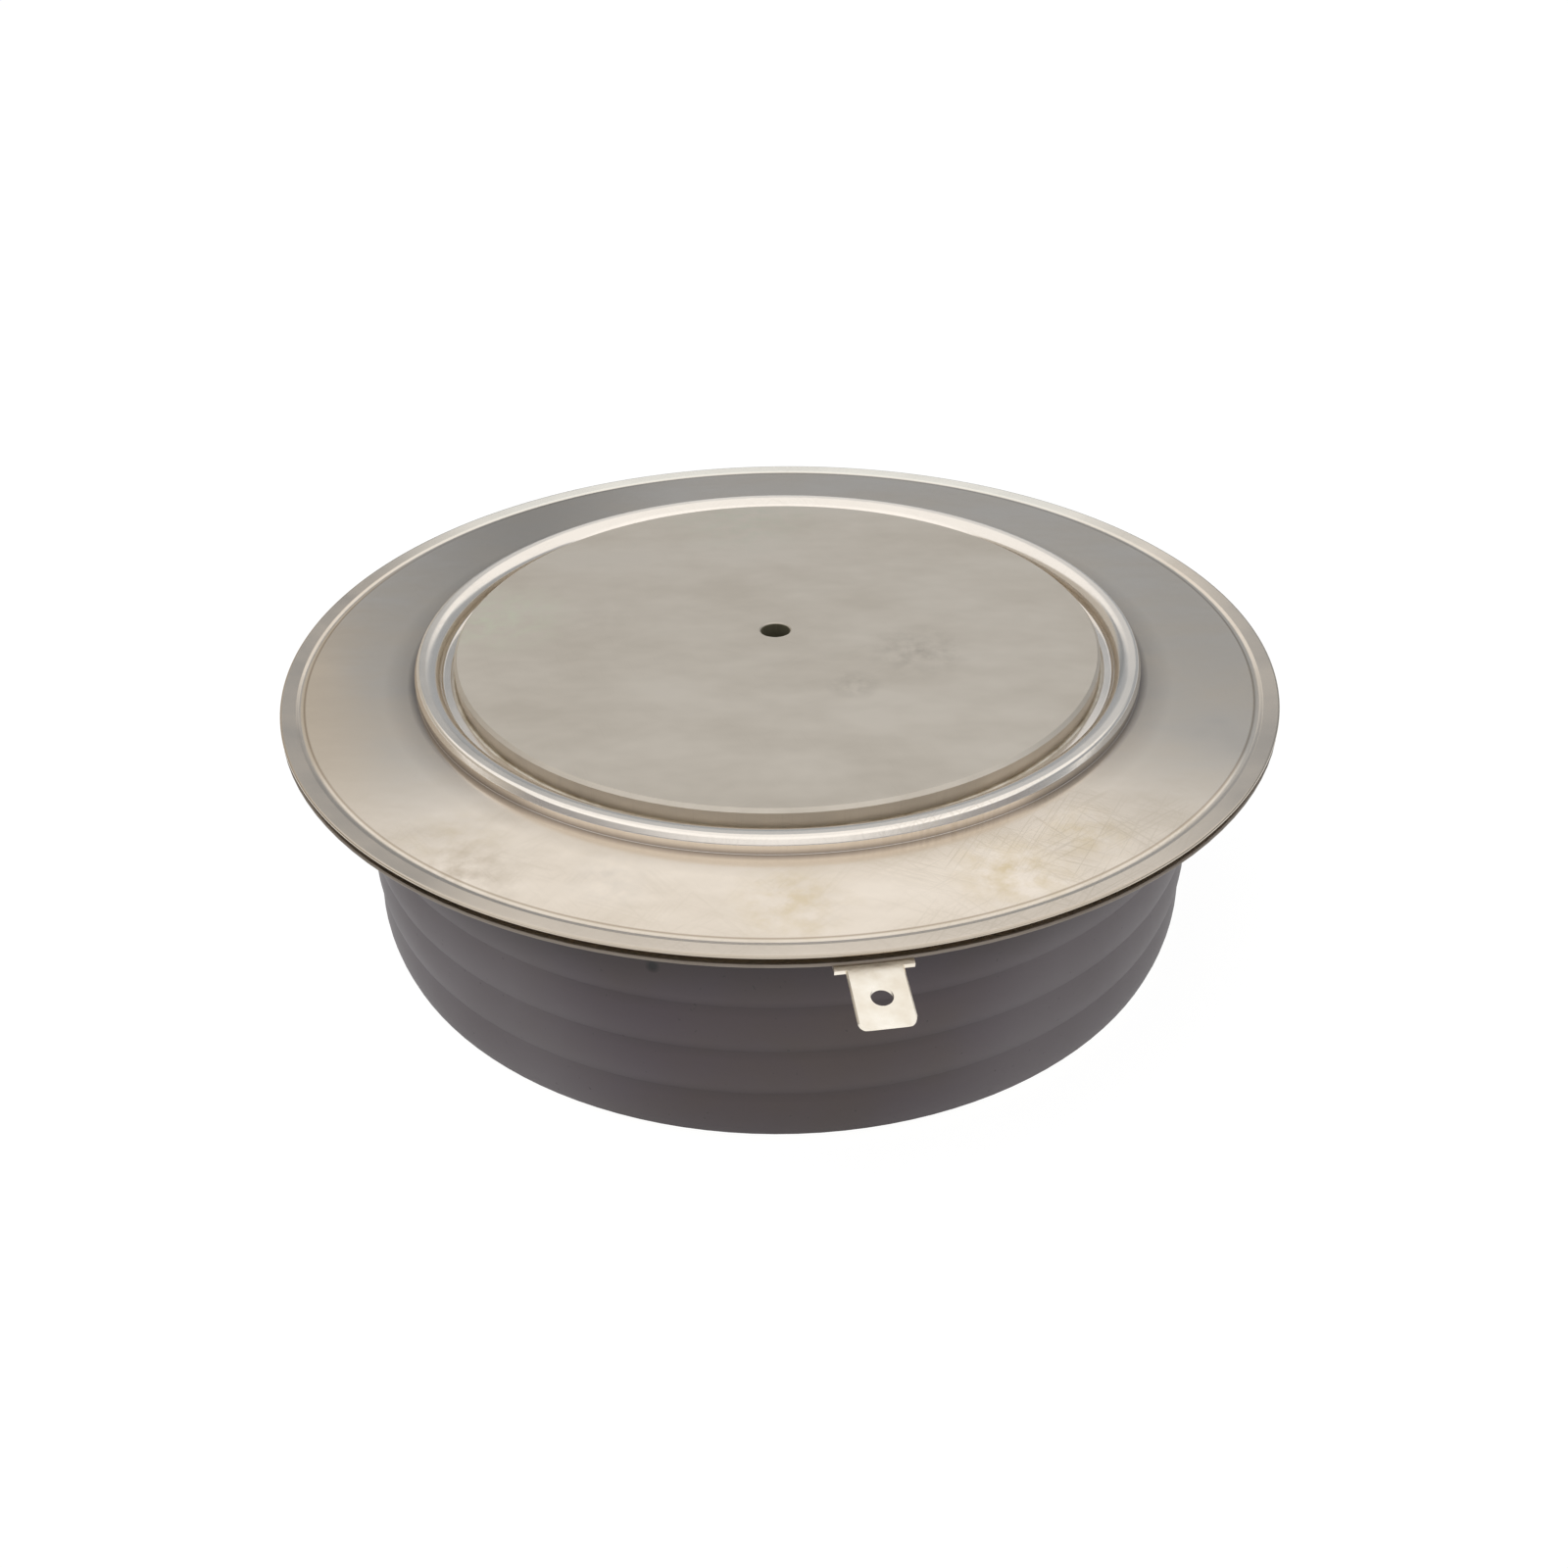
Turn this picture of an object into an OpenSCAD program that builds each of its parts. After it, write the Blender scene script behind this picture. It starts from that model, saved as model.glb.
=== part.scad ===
// Disc-shaped press-pack thyristor. Two plated copper pole pieces close a ribbed
// ceramic ring through thin brazed flanges, and clamp the silicon between discs of
// molybdenum. The origin is the centre of the anode face, +Z points to the cathode.

/* [Contact faces] */
// Diameter of each contact face
contact_d = 79; // [70:1:90]
// Height of the anode pole piece
anode_pole_h = 14.3; // [12.5:0.1:17]
// Height of the cathode pole piece
cathode_pole_h = 14.9; // [13:0.1:17]
// Chamfer on the edge of each contact face
contact_chamfer = 0.4; // [0.2:0.1:0.8]
// Height of the cathode face above the lid flange
cathode_proud = 2.1; // [1.7:0.1:2.6]
// Height of the anode face below the anode flange
anode_proud = 1.1; // [0.8:0.1:1.6]
// Width of the shoulder that carries a flange
shoulder_w = 2; // [1.5:0.25:2.5]
// Diameter of the centring hole in each face
centring_d = 3.6; // [3:0.1:4.5]
// Depth of each centring hole
centring_depth = 3; // [2:0.25:3.5]
// Chamfer round the mouth of the cathode centring hole
centring_chamfer = 0.2; // [0.1:0.1:0.5]

/* [Flanges] */
// How far the lid flange and the weld flange stand out past the ribs
flange_overhang = 7.5; // [6:0.25:10]
// Thickness of the flange sheet
flange_t = 0.4; // [0.3:0.05:0.6]
// Gap between the two welded flanges
flange_gap = 0.45; // [0.3:0.05:0.6]
// Distance of the weld groove from the flange edge
weld_inset = 2.4; // [1.6:0.2:3.4]
// Width of the weld groove
weld_w = 0.9; // [0.6:0.1:1.2]
// Depth of the weld groove
weld_groove = 0.15; // [0.09:0.01:0.18]
// Rise of the lid flange from the weld groove to its edge
lip_rise = 0.2; // [0.05:0.05:0.3]
// How far the bead of the lid flange stays below the cathode face
bead_drop = 0.2; // [0.1:0.05:0.4]
// Outer radius of the bead's two bends
bead_bend_r = 0.7; // [0.55:0.05:0.8]
// Distance between the bead's two bends
bead_w = 1.5; // [1.2:0.1:1.8]
// Slope of the bead's crown, down to the pole piece
bead_slope = 15; // [5:1:18]
// Fillet at the outer foot of the bead
bead_fillet = 0.25; // [0.1:0.05:0.3]
// Gap between the contact neck and the brazed inner rim
rim_gap = 0.6; // [0.3:0.1:0.9]
// How far the anode flange stays inside the edge of the ceramic
anode_flange_inset = 0.6; // [0.3:0.1:1.5]

/* [Ceramic ring] */
// Space between the pole pieces and the ring
ceramic_gap = 4; // [3.4:0.1:5]
// Wall of the ring over the ribs
ceramic_wall = 7; // [5.5:0.25:9]
// Number of ribs
rib_count = 5; // [3:1:7]
// Depth of the valleys between the ribs
rib_depth = 0.5; // [0.3:0.1:1.2]
// Chamfer on the inner edges of the ring
ceramic_chamfer = 0.5; // [0.2:0.1:1]

/* [Cathode blade] */
// Direction of the blade, turned from the front towards +X
blade_azimuth = 8.3; // [-30:0.1:30]
// Width of the blade
blade_w = 5.4; // [4:0.1:6.5]
// Thickness of the blade
blade_t = 0.5; // [0.4:0.1:0.8]
// Length of the blade past the flange edge
blade_l = 7; // [6.5:0.1:9]
// Angle that the blade is bent down
blade_bend = 11.3; // [0:0.1:30]
// Width over the shoulders
blade_shoulder_w = 7.5; // [6.8:0.1:9]
// Length of the shoulders past the flange edge
blade_shoulder_l = 0.45; // [0.3:0.05:1]
// Length of the root that is welded below the flange
blade_root_l = 3.2; // [2:0.2:4]
// Diameter of the latch hole in the blade
blade_hole_d = 2.1; // [1:0.1:2.8]
// Distance of the latch hole from the flange edge
blade_hole_at = 3.7; // [2.6:0.1:4.6]
// Radius of the blade's tip corners
blade_corner_r = 1.1; // [0.4:0.1:1.4]
// Bevel along the blade's edges
blade_bevel = 0.15; // [0.05:0.05:0.2]

/* [Stack] */
// Thickness of each silver foil
foil_t = 0.2; // [0.1:0.05:0.3]
// How far the wafer and its anode disc stay inside the contact face
wafer_inset = 1; // [0.5:0.1:2]
// Thickness of the silicon wafer
wafer_t = 0.9; // [0.6:0.1:1.4]
// How far the bevel draws in the wafer's upper edge
wafer_bevel = 1.6; // [0.8:0.2:2]
// Thickness of the anode molybdenum disc
anode_moly_t = 2.5; // [2:0.1:3]
// Gap between the wafer's seal and the cathode molybdenum disc
cathode_disc_gap = 1.2; // [0.6:0.1:2]
// Thickness of the cathode molybdenum disc
cathode_moly_t = 2; // [1.5:0.1:2.5]
// Height of the cathode pole piece's inner boss
boss_h = 1; // [0.6:0.1:1.6]
// How far the inner boss stands out past the cathode molybdenum disc
boss_margin = 0.5; // [0.2:0.1:1]
// Width of the rubber seal round the wafer
seal_w = 1.4; // [1:0.1:1.8]
// Depth of the seal down the side of the anode molybdenum disc
seal_drop = 1.2; // [0.8:0.1:1.6]
// Height of the rubber seal above the wafer
seal_rise = 0.7; // [0.4:0.1:1]
// Depth of the centring ring's sleeve over the anode pole piece
sleeve_depth = 5; // [3:0.5:8]

/* [Gate contact] */
// Diameter of the gate bore in the cathode pole piece
gate_bore_d = 12; // [11:0.5:14]
// Length of the fitted gate spring
spring_l = 4; // [3:0.1:5]
// Wall of the insulating cup
cup_wall = 1; // [0.8:0.1:1.2]
// Diameter of the gate hole in the molybdenum disc and the foil
gate_hole_d = 6; // [4.5:0.5:7]
// Diameter of the gate pin's tip
pin_tip_d = 1.5; // [1:0.1:2]
// Diameter of the gate pin's stem
pin_stem_d = 2.1; // [1.6:0.1:2.6]
// Length of the cone between the gate pin's tip and its stem
pin_cone_l = 0.3; // [0.2:0.05:0.5]
// Travel left between the gate pin's collar and the guide washer
pin_travel = 0.3; // [0.2:0.05:0.5]
// How deep the lead wire sits in the gate pin's collar
lead_seat = 1.7; // [1.2:0.1:2]
// Diameter of the gate pin's collar
pin_collar_d = 4.6; // [4.2:0.1:5]
// Height of the gate pin's collar
pin_collar_h = 2; // [1.6:0.1:2.4]
// Thickness of the guide washer
guide_t = 1.1; // [0.8:0.1:1.2]
// Wire of the gate spring
spring_wire_d = 0.5; // [0.4:0.05:0.6]
// Turns of the gate spring
spring_turns = 4; // [3:0.5:5]
// Diameter of the lead wire
lead_d = 0.8; // [0.6:0.1:1]
// Outer diameter of the lead's sleeve
lead_sleeve_d = 2; // [1.6:0.1:2.4]

/* [Gate terminal] */
// Outer diameter of the feed-through tube
tube_d = 3; // [2.6:0.1:3.6]
// How far the tube stands out of the ribs
tube_out = 3.4; // [2.8:0.2:5]
// How far the tube's end stands out of the gate blade's foot
tube_end = 0.8; // [0.4:0.1:1.2]
// How far the tube reaches into the housing
tube_in = 0.8; // [0.4:0.1:1]
// Width of the gate blade
gate_blade_w = 4.8; // [4:0.1:6]
// Thickness of the gate blade
gate_blade_t = 0.5; // [0.4:0.1:0.8]
// Length of the gate blade from its foot
gate_blade_l = 8; // [6:0.2:10]
// Height of the gate blade's foot above the tube axis
gate_foot_rise = 2.6; // [2.2:0.1:3.2]
// Diameter of the latch hole in the gate blade
gate_latch_d = 1.4; // [1:0.1:1.8]
// Distance of the latch hole from the gate blade's foot
gate_latch_at = 4; // [3:0.2:5]

/* [Clearances] */
// Clearance of a brazed round joint
braze_gap = 0.05; // [0.02:0.01:0.1]
// Radial clearance of the insulating parts
insulator_gap = 0.1; // [0.05:0.05:0.2]
// Clearance of the centring ring inside the ceramic
ring_gap = 0.3; // [0.2:0.05:0.4]

/* [Hidden] */
$fn = 128;

// Radii, from the middle outwards
contact_r = contact_d / 2;
wafer_r = contact_r - wafer_inset;
wafer_top_r = wafer_r - wafer_bevel;
seal_r = wafer_r + seal_w;
seal_in_r = wafer_top_r - seal_rise;
cathode_moly_r = seal_in_r - cathode_disc_gap;
boss_r = cathode_moly_r + boss_margin;
pole_r = contact_r + shoulder_w;
lid_leg_r = pole_r - flange_t;
ceramic_bore_r = pole_r + ceramic_gap;
crest_r = ceramic_bore_r + ceramic_wall;
valley_r = crest_r - rib_depth;
anode_flange_edge_r = valley_r - anode_flange_inset - flange_t / 2;
flange_r = crest_r + flange_overhang;
weld_r = flange_r - weld_inset;
edge_r = flange_r - flange_t / 2;
groove_arc_r = (pow(weld_w / 2, 2) + pow(weld_groove, 2)) / (2 * weld_groove);

// Levels, from the anode face up
anode_moly_z = anode_pole_h + foil_t;
wafer_z = anode_moly_z + anode_moly_t;
wafer_top_z = wafer_z + wafer_t;
seal_top_z = wafer_top_z + seal_rise;
cathode_foil_z = wafer_top_z + cathode_moly_t;
cathode_face_z = cathode_foil_z + foil_t;
housing_h = cathode_face_z + cathode_pole_h;
lid_z = housing_h - cathode_proud;
lid_shoulder_z = lid_z - flange_t;
bead_h = cathode_proud - bead_drop;
bead_fall = bead_w * tan(bead_slope);
ceramic_z = anode_proud + flange_t;
ceramic_top_z = lid_z - 2 * flange_t - flange_gap;
ceramic_h = ceramic_top_z - ceramic_z;
rib_pitch = ceramic_h / rib_count;
rib_arc_r = (pow(rib_pitch / 2, 2) + pow(rib_depth, 2)) / (2 * rib_depth);

// Gate contact
gate_z = cathode_face_z + guide_t + pin_travel + pin_collar_h / 2;
slot_w = lead_sleeve_d + 4 * insulator_gap;
slot_depth = gate_z + slot_w / 2 - cathode_face_z;
cup_r = gate_bore_d / 2 - insulator_gap;
cup_in_r = cup_r - cup_wall;
collar_top_z = gate_z + pin_collar_h / 2;
spring_z = collar_top_z + spring_l;
cup_h = spring_z + cup_wall - cathode_face_z;
spring_r = pin_collar_d / 2 - spring_wire_d / 2;
pin_stub_r = spring_r - spring_wire_d / 2 - 2 * insulator_gap;
pin_stub_l = spring_l / 2;
pin_stem_r = pin_stem_d / 2;
lead_r = lead_d / 2;
lead_hole_r = lead_r + braze_gap;
lead_start = pin_collar_d / 2 - lead_seat;
tube_r = tube_d / 2;
tube_start_r = ceramic_bore_r - tube_in;
tube_end_r = crest_r + tube_out;
gate_foot_at = tube_end_r - gate_blade_t - tube_end;

// Colours
nickel = "#bdb8ae";
nickel_dark = "#a29e97";
glaze = "#4f4a4c";
molybdenum = "#8d9096";
silver = "#d8d8d4";
silicon = "#5b6069";
rubber = "#c9c3b4";
fluoroplastic = "#e9e7df";
spring_steel = "#9a9a98";

// One round piece between two levels
module disc(r, z, h) {
    translate([0, 0, z])
        cylinder(r = r, h = h);
}

// Outline of the bead that stands on a sheet with its underside at z. The inner leg
// starts at leg_r, and inset draws the outline in by a part of the sheet's thickness
module bead_outline(leg_r, z, inset) {
    r = bead_bend_r - inset;
    in_r = leg_r + bead_bend_r;
    out_r = in_r + bead_w;
    out_z = z + flange_t + bead_h - bead_bend_r;
    in_z = out_z - bead_fall;
    crown = r * [-sin(bead_slope), cos(bead_slope)];
    translate([in_r, in_z])
        circle(r = r);
    translate([out_r, out_z])
        circle(r = r);
    polygon([[in_r - r, z - inset], [out_r + r, z - inset], [out_r + r, out_z],
        [out_r, out_z] + crown, [in_r, in_z] + crown, [in_r - r, in_z]]);
}

// Half section of a sheet with its underside at z: the brazed inner rim, the bead and
// a flat stretch that ends at r_out
module beaded_section(leg_r, r_out, z) {
    wall_r = leg_r + 2 * bead_bend_r + bead_w;
    difference() {
        union() {
            translate([contact_r + rim_gap, z])
                square([r_out - contact_r - rim_gap, flange_t]);
            translate([wall_r - flange_t / 4, z])
                square([bead_fillet + flange_t / 4, flange_t + bead_fillet]);
            bead_outline(leg_r, z, 0);
        }
        translate([wall_r + bead_fillet, z + flange_t + bead_fillet])
            circle(r = bead_fillet, $fn = 48);
        bead_outline(leg_r, z, flange_t);
    }
}

// Round edge of a sheet that ends at edge; z is the sheet's underside there
module sheet_edge(edge, z) {
    translate([edge, z + flange_t / 2])
        circle(r = flange_t / 2, $fn = 32);
}

// Flat blade with bevelled edges and round tip corners, along +Y from its root;
// the upper face is at z = 0
module blade_plate(w, l, t, corner_r, bevel) {
    intersection() {
        translate([0, 0, -t])
            linear_extrude(t)
                union() {
                    translate([-w / 2, 0])
                        square([w, l - corner_r]);
                    translate([-w / 2 + corner_r, 0])
                        square([w - 2 * corner_r, l]);
                    for (side = [-1, 1])
                        translate([side * (w / 2 - corner_r), l - corner_r])
                            circle(r = corner_r, $fn = 48);
                }
        translate([0, l, 0])
            rotate([90, 0, 0])
                linear_extrude(l)
                    polygon([[-w / 2, -bevel], [-w / 2 + bevel, 0], [w / 2 - bevel, 0],
                        [w / 2, -bevel], [w / 2, bevel - t], [w / 2 - bevel, -t],
                        [-w / 2 + bevel, -t], [-w / 2, bevel - t]]);
        translate([-w / 2, 0, 0])
            rotate([90, 0, 90])
                linear_extrude(w)
                    polygon([[0, 0], [l - bevel, 0], [l, -bevel], [l, bevel - t],
                        [l - bevel, -t], [0, -t]]);
    }
}

module anode_pole_piece() {
    color(nickel)
        difference() {
            rotate_extrude()
                polygon([[0, 0], [contact_r - contact_chamfer, 0],
                    [contact_r, contact_chamfer], [contact_r, ceramic_z],
                    [pole_r, ceramic_z], [pole_r, anode_pole_h], [0, anode_pole_h]]);
            disc(centring_d / 2, -1, centring_depth + 1);
        }
}

module anode_flange() {
    color(nickel_dark)
        rotate_extrude()
            union() {
                beaded_section(pole_r, anode_flange_edge_r, anode_proud);
                sheet_edge(anode_flange_edge_r, anode_proud);
            }
}

module ceramic_ring() {
    color(glaze)
        difference() {
            rotate_extrude()
                difference() {
                    union() {
                        translate([ceramic_bore_r, ceramic_z])
                            square([valley_r - ceramic_bore_r, ceramic_h]);
                        for (i = [0 : rib_count - 1])
                            intersection() {
                                translate([ceramic_bore_r, ceramic_z + i * rib_pitch])
                                    square([crest_r - ceramic_bore_r + 1, rib_pitch]);
                                translate([crest_r - rib_arc_r, ceramic_z + (i + 0.5) * rib_pitch])
                                    circle(r = rib_arc_r, $fn = 180);
                            }
                    }
                    for (edge_z = [ceramic_z, ceramic_top_z])
                        translate([ceramic_bore_r, edge_z])
                            rotate(45)
                                square(ceramic_chamfer * sqrt(2), center = true);
                }
            translate([0, 0, gate_z])
                rotate([-90, 0, 0])
                    cylinder(r = tube_r + braze_gap, h = crest_r + 5);
        }
}

module weld_flange() {
    color(nickel_dark)
        rotate_extrude()
            union() {
                translate([ceramic_bore_r + ceramic_chamfer, ceramic_top_z])
                    square([edge_r - ceramic_bore_r - ceramic_chamfer, flange_t]);
                sheet_edge(edge_r, ceramic_top_z);
            }
}

// The lid's lip rises from the middle of the weld groove, and the weld nugget below
// it joins the two flanges
module lid_flange() {
    low = lid_z - flange_t;
    color(nickel)
        rotate_extrude()
            difference() {
                union() {
                    beaded_section(lid_leg_r, weld_r, low);
                    polygon([[weld_r, low], [edge_r, low + lip_rise], [edge_r, lid_z + lip_rise],
                        [weld_r, lid_z]]);
                    sheet_edge(edge_r, low + lip_rise);
                    translate([weld_r - weld_w / 2, low - flange_gap])
                        square([weld_w, flange_gap + flange_t / 2]);
                }
                translate([weld_r, lid_z - weld_groove + groove_arc_r])
                    circle(r = groove_arc_r);
            }
}

module cathode_pole_piece() {
    color(nickel)
        difference() {
            rotate_extrude()
                polygon([[0, cathode_face_z], [boss_r, cathode_face_z],
                    [boss_r, cathode_face_z + boss_h], [pole_r, cathode_face_z + boss_h],
                    [pole_r, lid_shoulder_z], [contact_r, lid_shoulder_z],
                    [contact_r, housing_h - contact_chamfer],
                    [contact_r - contact_chamfer, housing_h], [0, housing_h]]);
            disc(centring_d / 2, housing_h - centring_depth, centring_depth + 1);
            translate([0, 0, housing_h - centring_chamfer])
                cylinder(r1 = centring_d / 2, r2 = centring_d / 2 + 2 * centring_chamfer,
                    h = 2 * centring_chamfer);
            disc(gate_bore_d / 2, cathode_face_z - 1, cup_h + 1);
            translate([-slot_w / 2, 0, cathode_face_z - 1])
                cube([slot_w, pole_r + 1, slot_depth + 1]);
        }
}

module cathode_blade() {
    color(nickel)
        rotate([0, 0, blade_azimuth + 180])
            translate([0, flange_r, ceramic_top_z])
                difference() {
                    union() {
                        translate([-blade_shoulder_w / 2, -blade_root_l, -blade_t])
                            cube([blade_shoulder_w, blade_root_l, blade_t]);
                        rotate([-blade_bend, 0, 0])
                            union() {
                                blade_plate(blade_w, blade_l, blade_t, blade_corner_r, blade_bevel);
                                translate([-blade_shoulder_w / 2, 0, -blade_t])
                                    cube([blade_shoulder_w, blade_shoulder_l, blade_t]);
                            }
                    }
                    rotate([-blade_bend, 0, 0])
                        translate([0, blade_hole_at, -blade_t - 1])
                            cylinder(r = blade_hole_d / 2, h = blade_t + 2);
                }
}

module anode_silver_foil() {
    color(silver)
        disc(wafer_r, anode_pole_h, foil_t);
}

module anode_molybdenum_disc() {
    color(molybdenum)
        disc(wafer_r, anode_moly_z, anode_moly_t);
}

module silicon_wafer() {
    color(silicon)
        rotate_extrude()
            polygon([[0, wafer_z], [wafer_r, wafer_z], [wafer_top_r, wafer_top_z],
                [0, wafer_top_z]]);
}

// The seal is moulded round the edges of the anode disc and the wafer
module wafer_edge_seal() {
    color(rubber)
        rotate_extrude()
            polygon([[wafer_r, wafer_z - seal_drop], [seal_r, wafer_z - seal_drop],
                [seal_r, wafer_top_z], [seal_r - seal_rise, seal_top_z],
                [seal_in_r, seal_top_z], [seal_in_r, wafer_top_z],
                [wafer_top_r, wafer_top_z], [wafer_r, wafer_z]]);
}

module cathode_molybdenum_disc() {
    color(molybdenum)
        difference() {
            disc(cathode_moly_r, wafer_top_z, cathode_moly_t);
            disc(gate_hole_d / 2, wafer_top_z - 1, cathode_moly_t + 2);
        }
}

module cathode_silver_foil() {
    color(silver)
        difference() {
            disc(cathode_moly_r, cathode_foil_z, foil_t);
            disc(gate_hole_d / 2, cathode_foil_z - 1, foil_t + 2);
        }
}

// Insulating ring that sits on the anode pole piece and centres the sealed wafer
module centring_ring() {
    color(fluoroplastic)
        rotate_extrude()
            polygon([[pole_r + insulator_gap, anode_pole_h - sleeve_depth],
                [ceramic_bore_r - ring_gap, anode_pole_h - sleeve_depth],
                [ceramic_bore_r - ring_gap, seal_top_z],
                [seal_r + insulator_gap, seal_top_z],
                [seal_r + insulator_gap, anode_pole_h],
                [pole_r + insulator_gap, anode_pole_h]]);
}

module gate_cup() {
    color(fluoroplastic)
        difference() {
            disc(cup_r, cathode_face_z, cup_h);
            disc(cup_in_r, cathode_face_z - 1, cup_h - cup_wall + 1);
            translate([-slot_w / 2, 0, cathode_face_z - 1])
                cube([slot_w, gate_bore_d, slot_depth + 1]);
        }
}

// Points of one ring of the spring's wire, at a turn angle and height
function wire_ring(angle, z, sides) = [
    for (k = [0 : sides - 1])
        let (a = 360 * k / sides, r = spring_r + spring_wire_d / 2 * cos(a))
            [r * cos(angle), r * sin(angle), z + spring_wire_d / 2 * sin(a)]
];

module gate_spring() {
    sides = 8;
    rings = ceil(spring_turns * 20);
    bottom = collar_top_z + spring_wire_d / 2;
    rise = spring_l - spring_wire_d;
    points = [for (i = [0 : rings]) each
        wire_ring(360 * spring_turns * i / rings, bottom + rise * i / rings, sides)];
    walls = [for (i = [0 : rings - 1], k = [0 : sides - 1])
        [i * sides + k, i * sides + (k + 1) % sides,
         (i + 1) * sides + (k + 1) % sides, (i + 1) * sides + k]];
    start = [for (k = [sides - 1 : -1 : 0]) k];
    end = [for (k = [0 : sides - 1]) rings * sides + k];
    color(spring_steel)
        polyhedron(points = points, faces = concat([start], walls, [end]));
}

module gate_pin() {
    color(silver)
        difference() {
            rotate_extrude()
                polygon([[0, wafer_top_z], [pin_tip_d / 2, wafer_top_z],
                    [pin_stem_r, wafer_top_z + pin_cone_l], [pin_stem_r, gate_z - pin_collar_h / 2],
                    [pin_collar_d / 2, gate_z - pin_collar_h / 2],
                    [pin_collar_d / 2, collar_top_z], [pin_stub_r, collar_top_z],
                    [pin_stub_r, collar_top_z + pin_stub_l], [0, collar_top_z + pin_stub_l]]);
            translate([0, lead_start, gate_z])
                rotate([-90, 0, 0])
                    cylinder(r = lead_hole_r, h = pin_collar_d);
        }
}

module gate_guide_washer() {
    color(fluoroplastic)
        difference() {
            disc(cup_in_r - insulator_gap, cathode_face_z, guide_t);
            disc(pin_stem_r + insulator_gap, cathode_face_z - 1, guide_t + 2);
        }
}

module gate_lead() {
    color(silver)
        translate([0, lead_start, gate_z])
            rotate([-90, 0, 0])
                cylinder(r = lead_r, h = tube_end_r - lead_start);
}

module gate_lead_sleeve() {
    color(fluoroplastic)
        translate([0, cup_in_r, gate_z])
            rotate([-90, 0, 0])
                difference() {
                    cylinder(r = lead_sleeve_d / 2, h = tube_start_r - cup_in_r);
                    translate([0, 0, -1])
                        cylinder(r = lead_hole_r, h = tube_start_r - cup_in_r + 2);
                }
}

module gate_tube() {
    color(nickel)
        translate([0, tube_start_r, gate_z])
            rotate([-90, 0, 0])
                difference() {
                    cylinder(r = tube_r, h = tube_end_r - tube_start_r);
                    translate([0, 0, -1])
                        cylinder(r = lead_hole_r, h = tube_end_r - tube_start_r + 2);
                }
}

// Angle plate: the foot is threaded over the tube, the blade points outwards
module gate_blade() {
    foot_low = gate_z - gate_foot_rise;
    color(nickel)
        difference() {
            union() {
                translate([-gate_blade_w / 2, gate_foot_at, foot_low])
                    cube([gate_blade_w, gate_blade_t, 2 * gate_foot_rise]);
                translate([0, gate_foot_at, foot_low + gate_blade_t])
                    blade_plate(gate_blade_w, gate_blade_l, gate_blade_t, blade_corner_r,
                        blade_bevel);
            }
            translate([0, gate_foot_at - 1, gate_z])
                rotate([-90, 0, 0])
                    cylinder(r = tube_r + braze_gap, h = gate_blade_t + 2);
            translate([0, gate_foot_at + gate_latch_at, foot_low - 1])
                cylinder(r = gate_latch_d / 2, h = gate_blade_t + 2);
        }
}

anode_pole_piece();
anode_flange();
ceramic_ring();
weld_flange();
lid_flange();
cathode_pole_piece();
cathode_blade();
anode_silver_foil();
anode_molybdenum_disc();
silicon_wafer();
wafer_edge_seal();
cathode_molybdenum_disc();
cathode_silver_foil();
centring_ring();
gate_cup();
gate_spring();
gate_pin();
gate_guide_washer();
gate_lead();
gate_lead_sleeve();
gate_tube();
gate_blade();
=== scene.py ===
"""Press-pack thyristor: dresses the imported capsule, adds its joints of braze and solder, and lights it.

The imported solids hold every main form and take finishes. Two of them, the beaded flanges of the lid and
the anode, are replaced by the same drawn sheet with finer rounds. The other new pieces are the small
joints that hold the capsule together: braze fillets, spot welds and the solder at the gate terminal.
"""
import logging
import math
from collections.abc import Callable, Iterator
from contextlib import contextmanager
from dataclasses import dataclass
from enum import Enum
from typing import ClassVar

import bpy
from mathutils import Matrix, Vector


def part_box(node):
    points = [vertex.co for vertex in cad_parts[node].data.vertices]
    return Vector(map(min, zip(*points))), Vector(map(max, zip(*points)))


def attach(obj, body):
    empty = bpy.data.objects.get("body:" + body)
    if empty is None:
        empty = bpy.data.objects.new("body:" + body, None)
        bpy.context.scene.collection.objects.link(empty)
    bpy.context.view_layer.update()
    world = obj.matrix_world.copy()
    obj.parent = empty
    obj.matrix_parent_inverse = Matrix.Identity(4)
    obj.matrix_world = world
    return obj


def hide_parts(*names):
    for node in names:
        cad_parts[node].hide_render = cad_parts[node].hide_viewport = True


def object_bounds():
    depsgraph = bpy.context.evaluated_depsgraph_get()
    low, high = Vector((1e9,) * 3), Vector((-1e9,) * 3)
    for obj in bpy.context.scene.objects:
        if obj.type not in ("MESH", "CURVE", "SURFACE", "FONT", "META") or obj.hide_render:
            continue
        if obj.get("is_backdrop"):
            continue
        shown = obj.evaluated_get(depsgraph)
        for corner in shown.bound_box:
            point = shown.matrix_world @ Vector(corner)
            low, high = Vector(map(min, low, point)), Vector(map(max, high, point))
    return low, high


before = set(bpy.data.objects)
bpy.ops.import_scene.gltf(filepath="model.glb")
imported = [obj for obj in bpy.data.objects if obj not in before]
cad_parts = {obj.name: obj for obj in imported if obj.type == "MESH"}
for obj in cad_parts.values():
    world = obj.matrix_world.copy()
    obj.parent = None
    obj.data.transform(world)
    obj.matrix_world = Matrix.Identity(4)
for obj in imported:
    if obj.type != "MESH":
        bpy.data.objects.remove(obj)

Piece = bpy.types.Object
Socket = bpy.types.NodeSocket
Pair = tuple[float, float]
Triple = tuple[float, float, float]
LOG = logging.getLogger("press_pack")
MM = 0.001
CAD_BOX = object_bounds()
BODY = "root"
FACE_OVER_LID_MM = 2.1
FACE_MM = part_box("cathode_pole_piece")[1].z / MM
LID_MM = FACE_MM - FACE_OVER_LID_MM
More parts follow.
